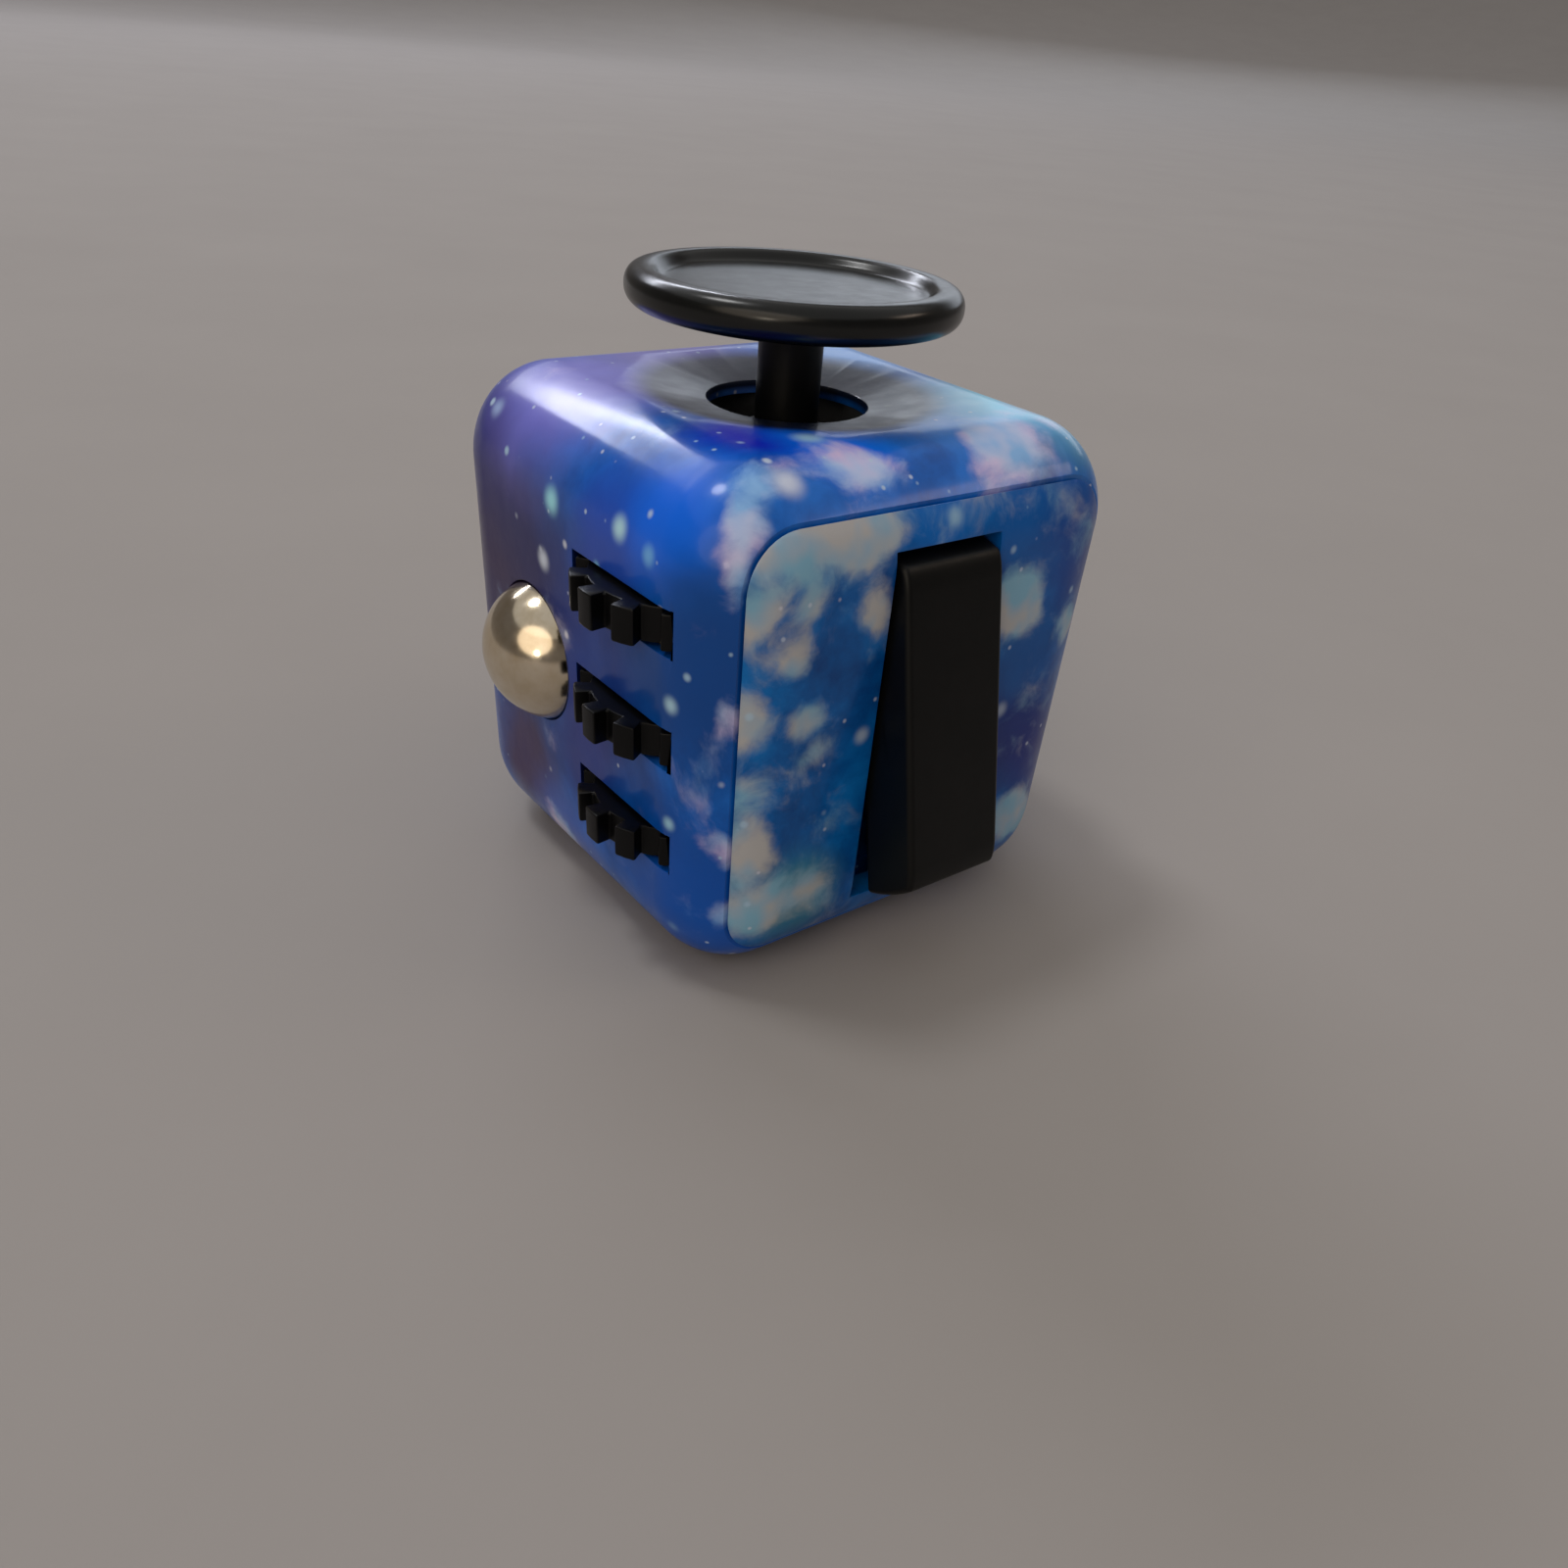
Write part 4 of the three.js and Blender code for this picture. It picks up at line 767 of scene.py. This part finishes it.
def buttonBlank():  # modelled once about the middle of the rear face
    radius, ledge = buttons["radius"] * mm, buttons["ledge"]
    blank = rod(buttons["flange"], (0, buttons["back"], 0), (0, ledge, 0), alongY, 72)
    openUp(blank)
    pick("FACE", lambda face: facesTo(face, 1))
    bpy.ops.mesh.inset(thickness=(buttons["flange"] - buttons["radius"]) * mm, depth=0)
    domed = 0.3  # the crown rises this much in four rings
    bpy.ops.mesh.extrude_region_move(
        TRANSFORM_OT_translate={"value": (0, (buttons["crown"] - domed - ledge) * mm, 0)})
    for thickness, rise in ((0.9, 0.1), (0.9, 0.09), (0.9, 0.07), (0.7, 0.04)):
        bpy.ops.mesh.inset(thickness=thickness * mm, depth=rise * mm)
    pick("EDGE", lambda edge: edge.calc_face_angle(0) > 1.0 and edge.verts[0].co.y > 3 * mm
         and abs(edge.verts[0].co.xz.length - radius) < 0.05 * mm
         and abs(edge.verts[1].co.xz.length - radius) < 0.05 * mm)
    bpy.ops.mesh.bevel(offset=buttons["edge"] * mm, segments=6, profile=0.5, affect="EDGES")
    pick("FACE", lambda face: facesTo(face, 1, -1) and face.calc_area() > 30 * mm * mm)
    bpy.ops.mesh.inset(thickness=(buttons["flange"] - 1.5) * mm, depth=0)
    bpy.ops.mesh.extrude_region_move(TRANSFORM_OT_translate={"value": (0, -0.2 * mm, 0)})
    return closeUp()


blank = buttonBlank()
for i, (x, z) in enumerate(buttons["places"]):
    only(blank)
    bpy.ops.object.duplicate()  # a copy with its own mesh
    bpy.ops.transform.translate(value=(x * mm, 0, z * mm))
    finishPiece(bpy.context.object, f"push_button_{i + 1}", f"button_{'abcde'[i]}", "black_plastic", glossAbs,
                f"button_{i + 1}")
bpy.data.objects.remove(blank)

print("dial")
dial = {"radius": 10.0, "under": 16.0, "crown": 19.5, "edge": 0.8, "dish": 7.2, "scallops": 20, "bite": 1.1,
        "biteReach": 10.6, "biteFrom": 16.7, "axle": 2.3, "axleEnd": 11.0, "screwHole": 1.1,
        "screwEnd": 14.8, "corner": 0.14}
knob = rod(dial["radius"], (dial["under"], 0, 0), (dial["crown"], 0, 0), alongX, 160)
openUp(knob)
pick("EDGE", lambda edge: edge.calc_face_angle(0) > 1.2 and edge.verts[0].co.x > 0 and edge.verts[1].co.x > 0)
bpy.ops.mesh.bevel(offset=dial["edge"] * mm, segments=6, profile=0.5, affect="EDGES")
pick("FACE", lambda face: facesTo(face, 0) and face.calc_area() > 50 * mm * mm)
bpy.ops.mesh.inset(thickness=(dial["radius"] - dial["edge"] - dial["dish"]) * mm, depth=0)
for thickness, fall in ((1.0, 0.2), (1.4, 0.2), (1.6, 0.18), (1.6, 0.12)):  # the thumb hollow, in rings
    bpy.ops.mesh.inset(thickness=thickness * mm, depth=-fall * mm)
closeUp()
for i in range(dial["scallops"]):
    turn = 2 * math.pi * i / dial["scallops"]
    y, z = dial["biteReach"] * math.cos(turn), dial["biteReach"] * math.sin(turn)
    carve(knob, rod(dial["bite"], (dial["biteFrom"], y, z), (dial["crown"] + 1, y, z), alongX, 24))
axleTop = dial["under"] + overlap
carve(knob, rod(dial["axle"], (dial["axleEnd"], 0, 0), (axleTop, 0, 0), alongX, 48), "UNION")
carve(knob, rod(dial["screwHole"], (dial["axleEnd"] - 1, 0, 0), (dial["screwEnd"], 0, 0), alongX, 24))
softenEdges(knob, dial["corner"], 2, 40)
finishPiece(knob, "dial_knob_scalloped", "dial", "black_plastic", satinAbs, "dial_knob")

print("inner workings")
insideFinishes = {
    greyAcetal: ("gimbal_ring", "joystick_housing", "joystick_follower", "rocker_plunger",
                 "rocker_detent_bracket", "gear_spacer_upper", "gear_spacer_lower", "ball_cup",
                 "ball_housing", "dial_ratchet"),
    zincSteel: ("joystick_cross_pin", "rocker_pin_left", "rocker_pin_right", "gear_shaft", "dial_screw",
                "housing_screw_1", "housing_screw_2", "housing_screw_3", "housing_screw_4", "bracket_screw_1",
                "bracket_screw_2", "board_screw_1", "board_screw_2", "board_screw_3"),
    springWire: ("joystick_spring", "rocker_spring", "ball_spring", "dial_detent_spring"),
    stainlessSheet: ("snap_dome_1", "snap_dome_3", "snap_dome_5", "dial_washer"),
    siliconeRubber: ("rubber_dome_2", "rubber_dome_4"),
    greenLaminate: ("button_board",),
}
for finish, names in insideFinishes.items():
    for name in names:
        for holder in nodes[name].material_slots:
            holder.material = finish

print("floor and light")
bowl = {"radius": 6.0, "wall": 4.6, "bend": 4.0}  # metres: paper that turns up all round, far from the cube
bpy.ops.object.select_all(action="DESELECT")
bpy.ops.mesh.primitive_cylinder_add(vertices=64, radius=bowl["radius"], depth=bowl["wall"],
                                    location=(0, 0, bowl["wall"] / 2))
sweep = bpy.context.object
sweep.name = "paper_floor"
openUp(sweep)
pick("FACE", lambda face: facesTo(face, 2))
bpy.ops.mesh.delete(type="FACE")
pick("EDGE", lambda edge: edge.verts[0].co.z < 0 and edge.verts[1].co.z < 0)
bpy.ops.mesh.bevel(offset=bowl["bend"], segments=32, profile=0.5, affect="EDGES")
bpy.ops.mesh.select_all(action="SELECT")
bpy.ops.mesh.flip_normals()
closeUp()
bpy.ops.object.transform_apply(location=True, rotation=True, scale=True)
bpy.ops.object.shade_smooth()
paper, tree, surface, place = newFinish("matt paper sheet")
# uncoated paper: an even pale grey with soft cloudy formation
cloudy = addNode(tree, "TexNoise", {"Scale": 0.02, "Detail": 5.0, "Roughness": 0.6}, {"Vector": place})
tone = addNode(tree, "ValToRGB", {"stops": [(0.3, "#a09b98"), (0.7, "#a39e9b")]},
               {"Fac": cloudy.outputs["Fac"]})
tooth = addNode(tree, "TexNoise", {"Scale": 1.2, "Detail": 3.0}, {"Vector": place})
felt = addNode(tree, "Bump", {"Strength": 0.15, "Distance": 0.05 * mm}, {"Height": tooth.outputs["Fac"]})
tree.links.new(tone.outputs["Color"], surface.inputs["Base Color"])
tree.links.new(felt.outputs["Normal"], surface.inputs["Normal"])
surface.inputs["Roughness"].default_value = 0.9
surface.inputs["Specular IOR Level"].default_value = 0.2
sweep.data.materials.append(paper)

# name: (heading from +Y towards +X, height above the horizon, distance, size, power, tint),
# in degrees, metres and watts
lamps = {
    "window_behind": (10, 32, 2.4, (1.6, 0.12), 16.0, "#eef2ff"),
    "ceiling_lamp": (-32, 65, 2.0, (0.4, 0.4), 7.0, "#ffffff"),
    "pale_wall": (55, 15, 2.6, (2.2, 0.8), 5.0, "#e8f2ff"),
    "left_curtain": (-118, 30, 2.2, (2.4, 1.8), 13.0, "#ffeed8"),
    "left_lamp": (-125, 13, 2.0, (0.24, 0.24), 1.6, "#fff2dc"),
    "right_lamp": (122, 36, 2.2, (0.9, 0.3), 2.4, "#ffe6d0"),
}
for name, (heading, height, distance, size, power, tint) in lamps.items():
    turn, rise = math.radians(heading), math.radians(height)
    away = Vector((math.sin(turn) * math.cos(rise), math.cos(turn) * math.cos(rise), math.sin(rise)))
    bpy.ops.object.light_add(type="AREA", location=middle + away * distance)
    light = bpy.context.object
    light.name = name
    light.rotation_euler = away.to_track_quat("Z", "Y").to_euler()
    light.data.shape = "RECTANGLE" if name == "window_behind" else "ELLIPSE"
    light.data.size, light.data.size_y = size
    light.data.energy = power
    light.data.color = linear(tint)[:3]
    light.visible_camera = False
room = bpy.data.worlds.new("room")
scene.world = room
room.use_nodes = True
room.node_tree.nodes["Background"].inputs["Color"].default_value = linear("#c8c6c4")
room.node_tree.nodes["Background"].inputs["Strength"].default_value = 0.8
scene.view_settings.view_transform = "Standard"
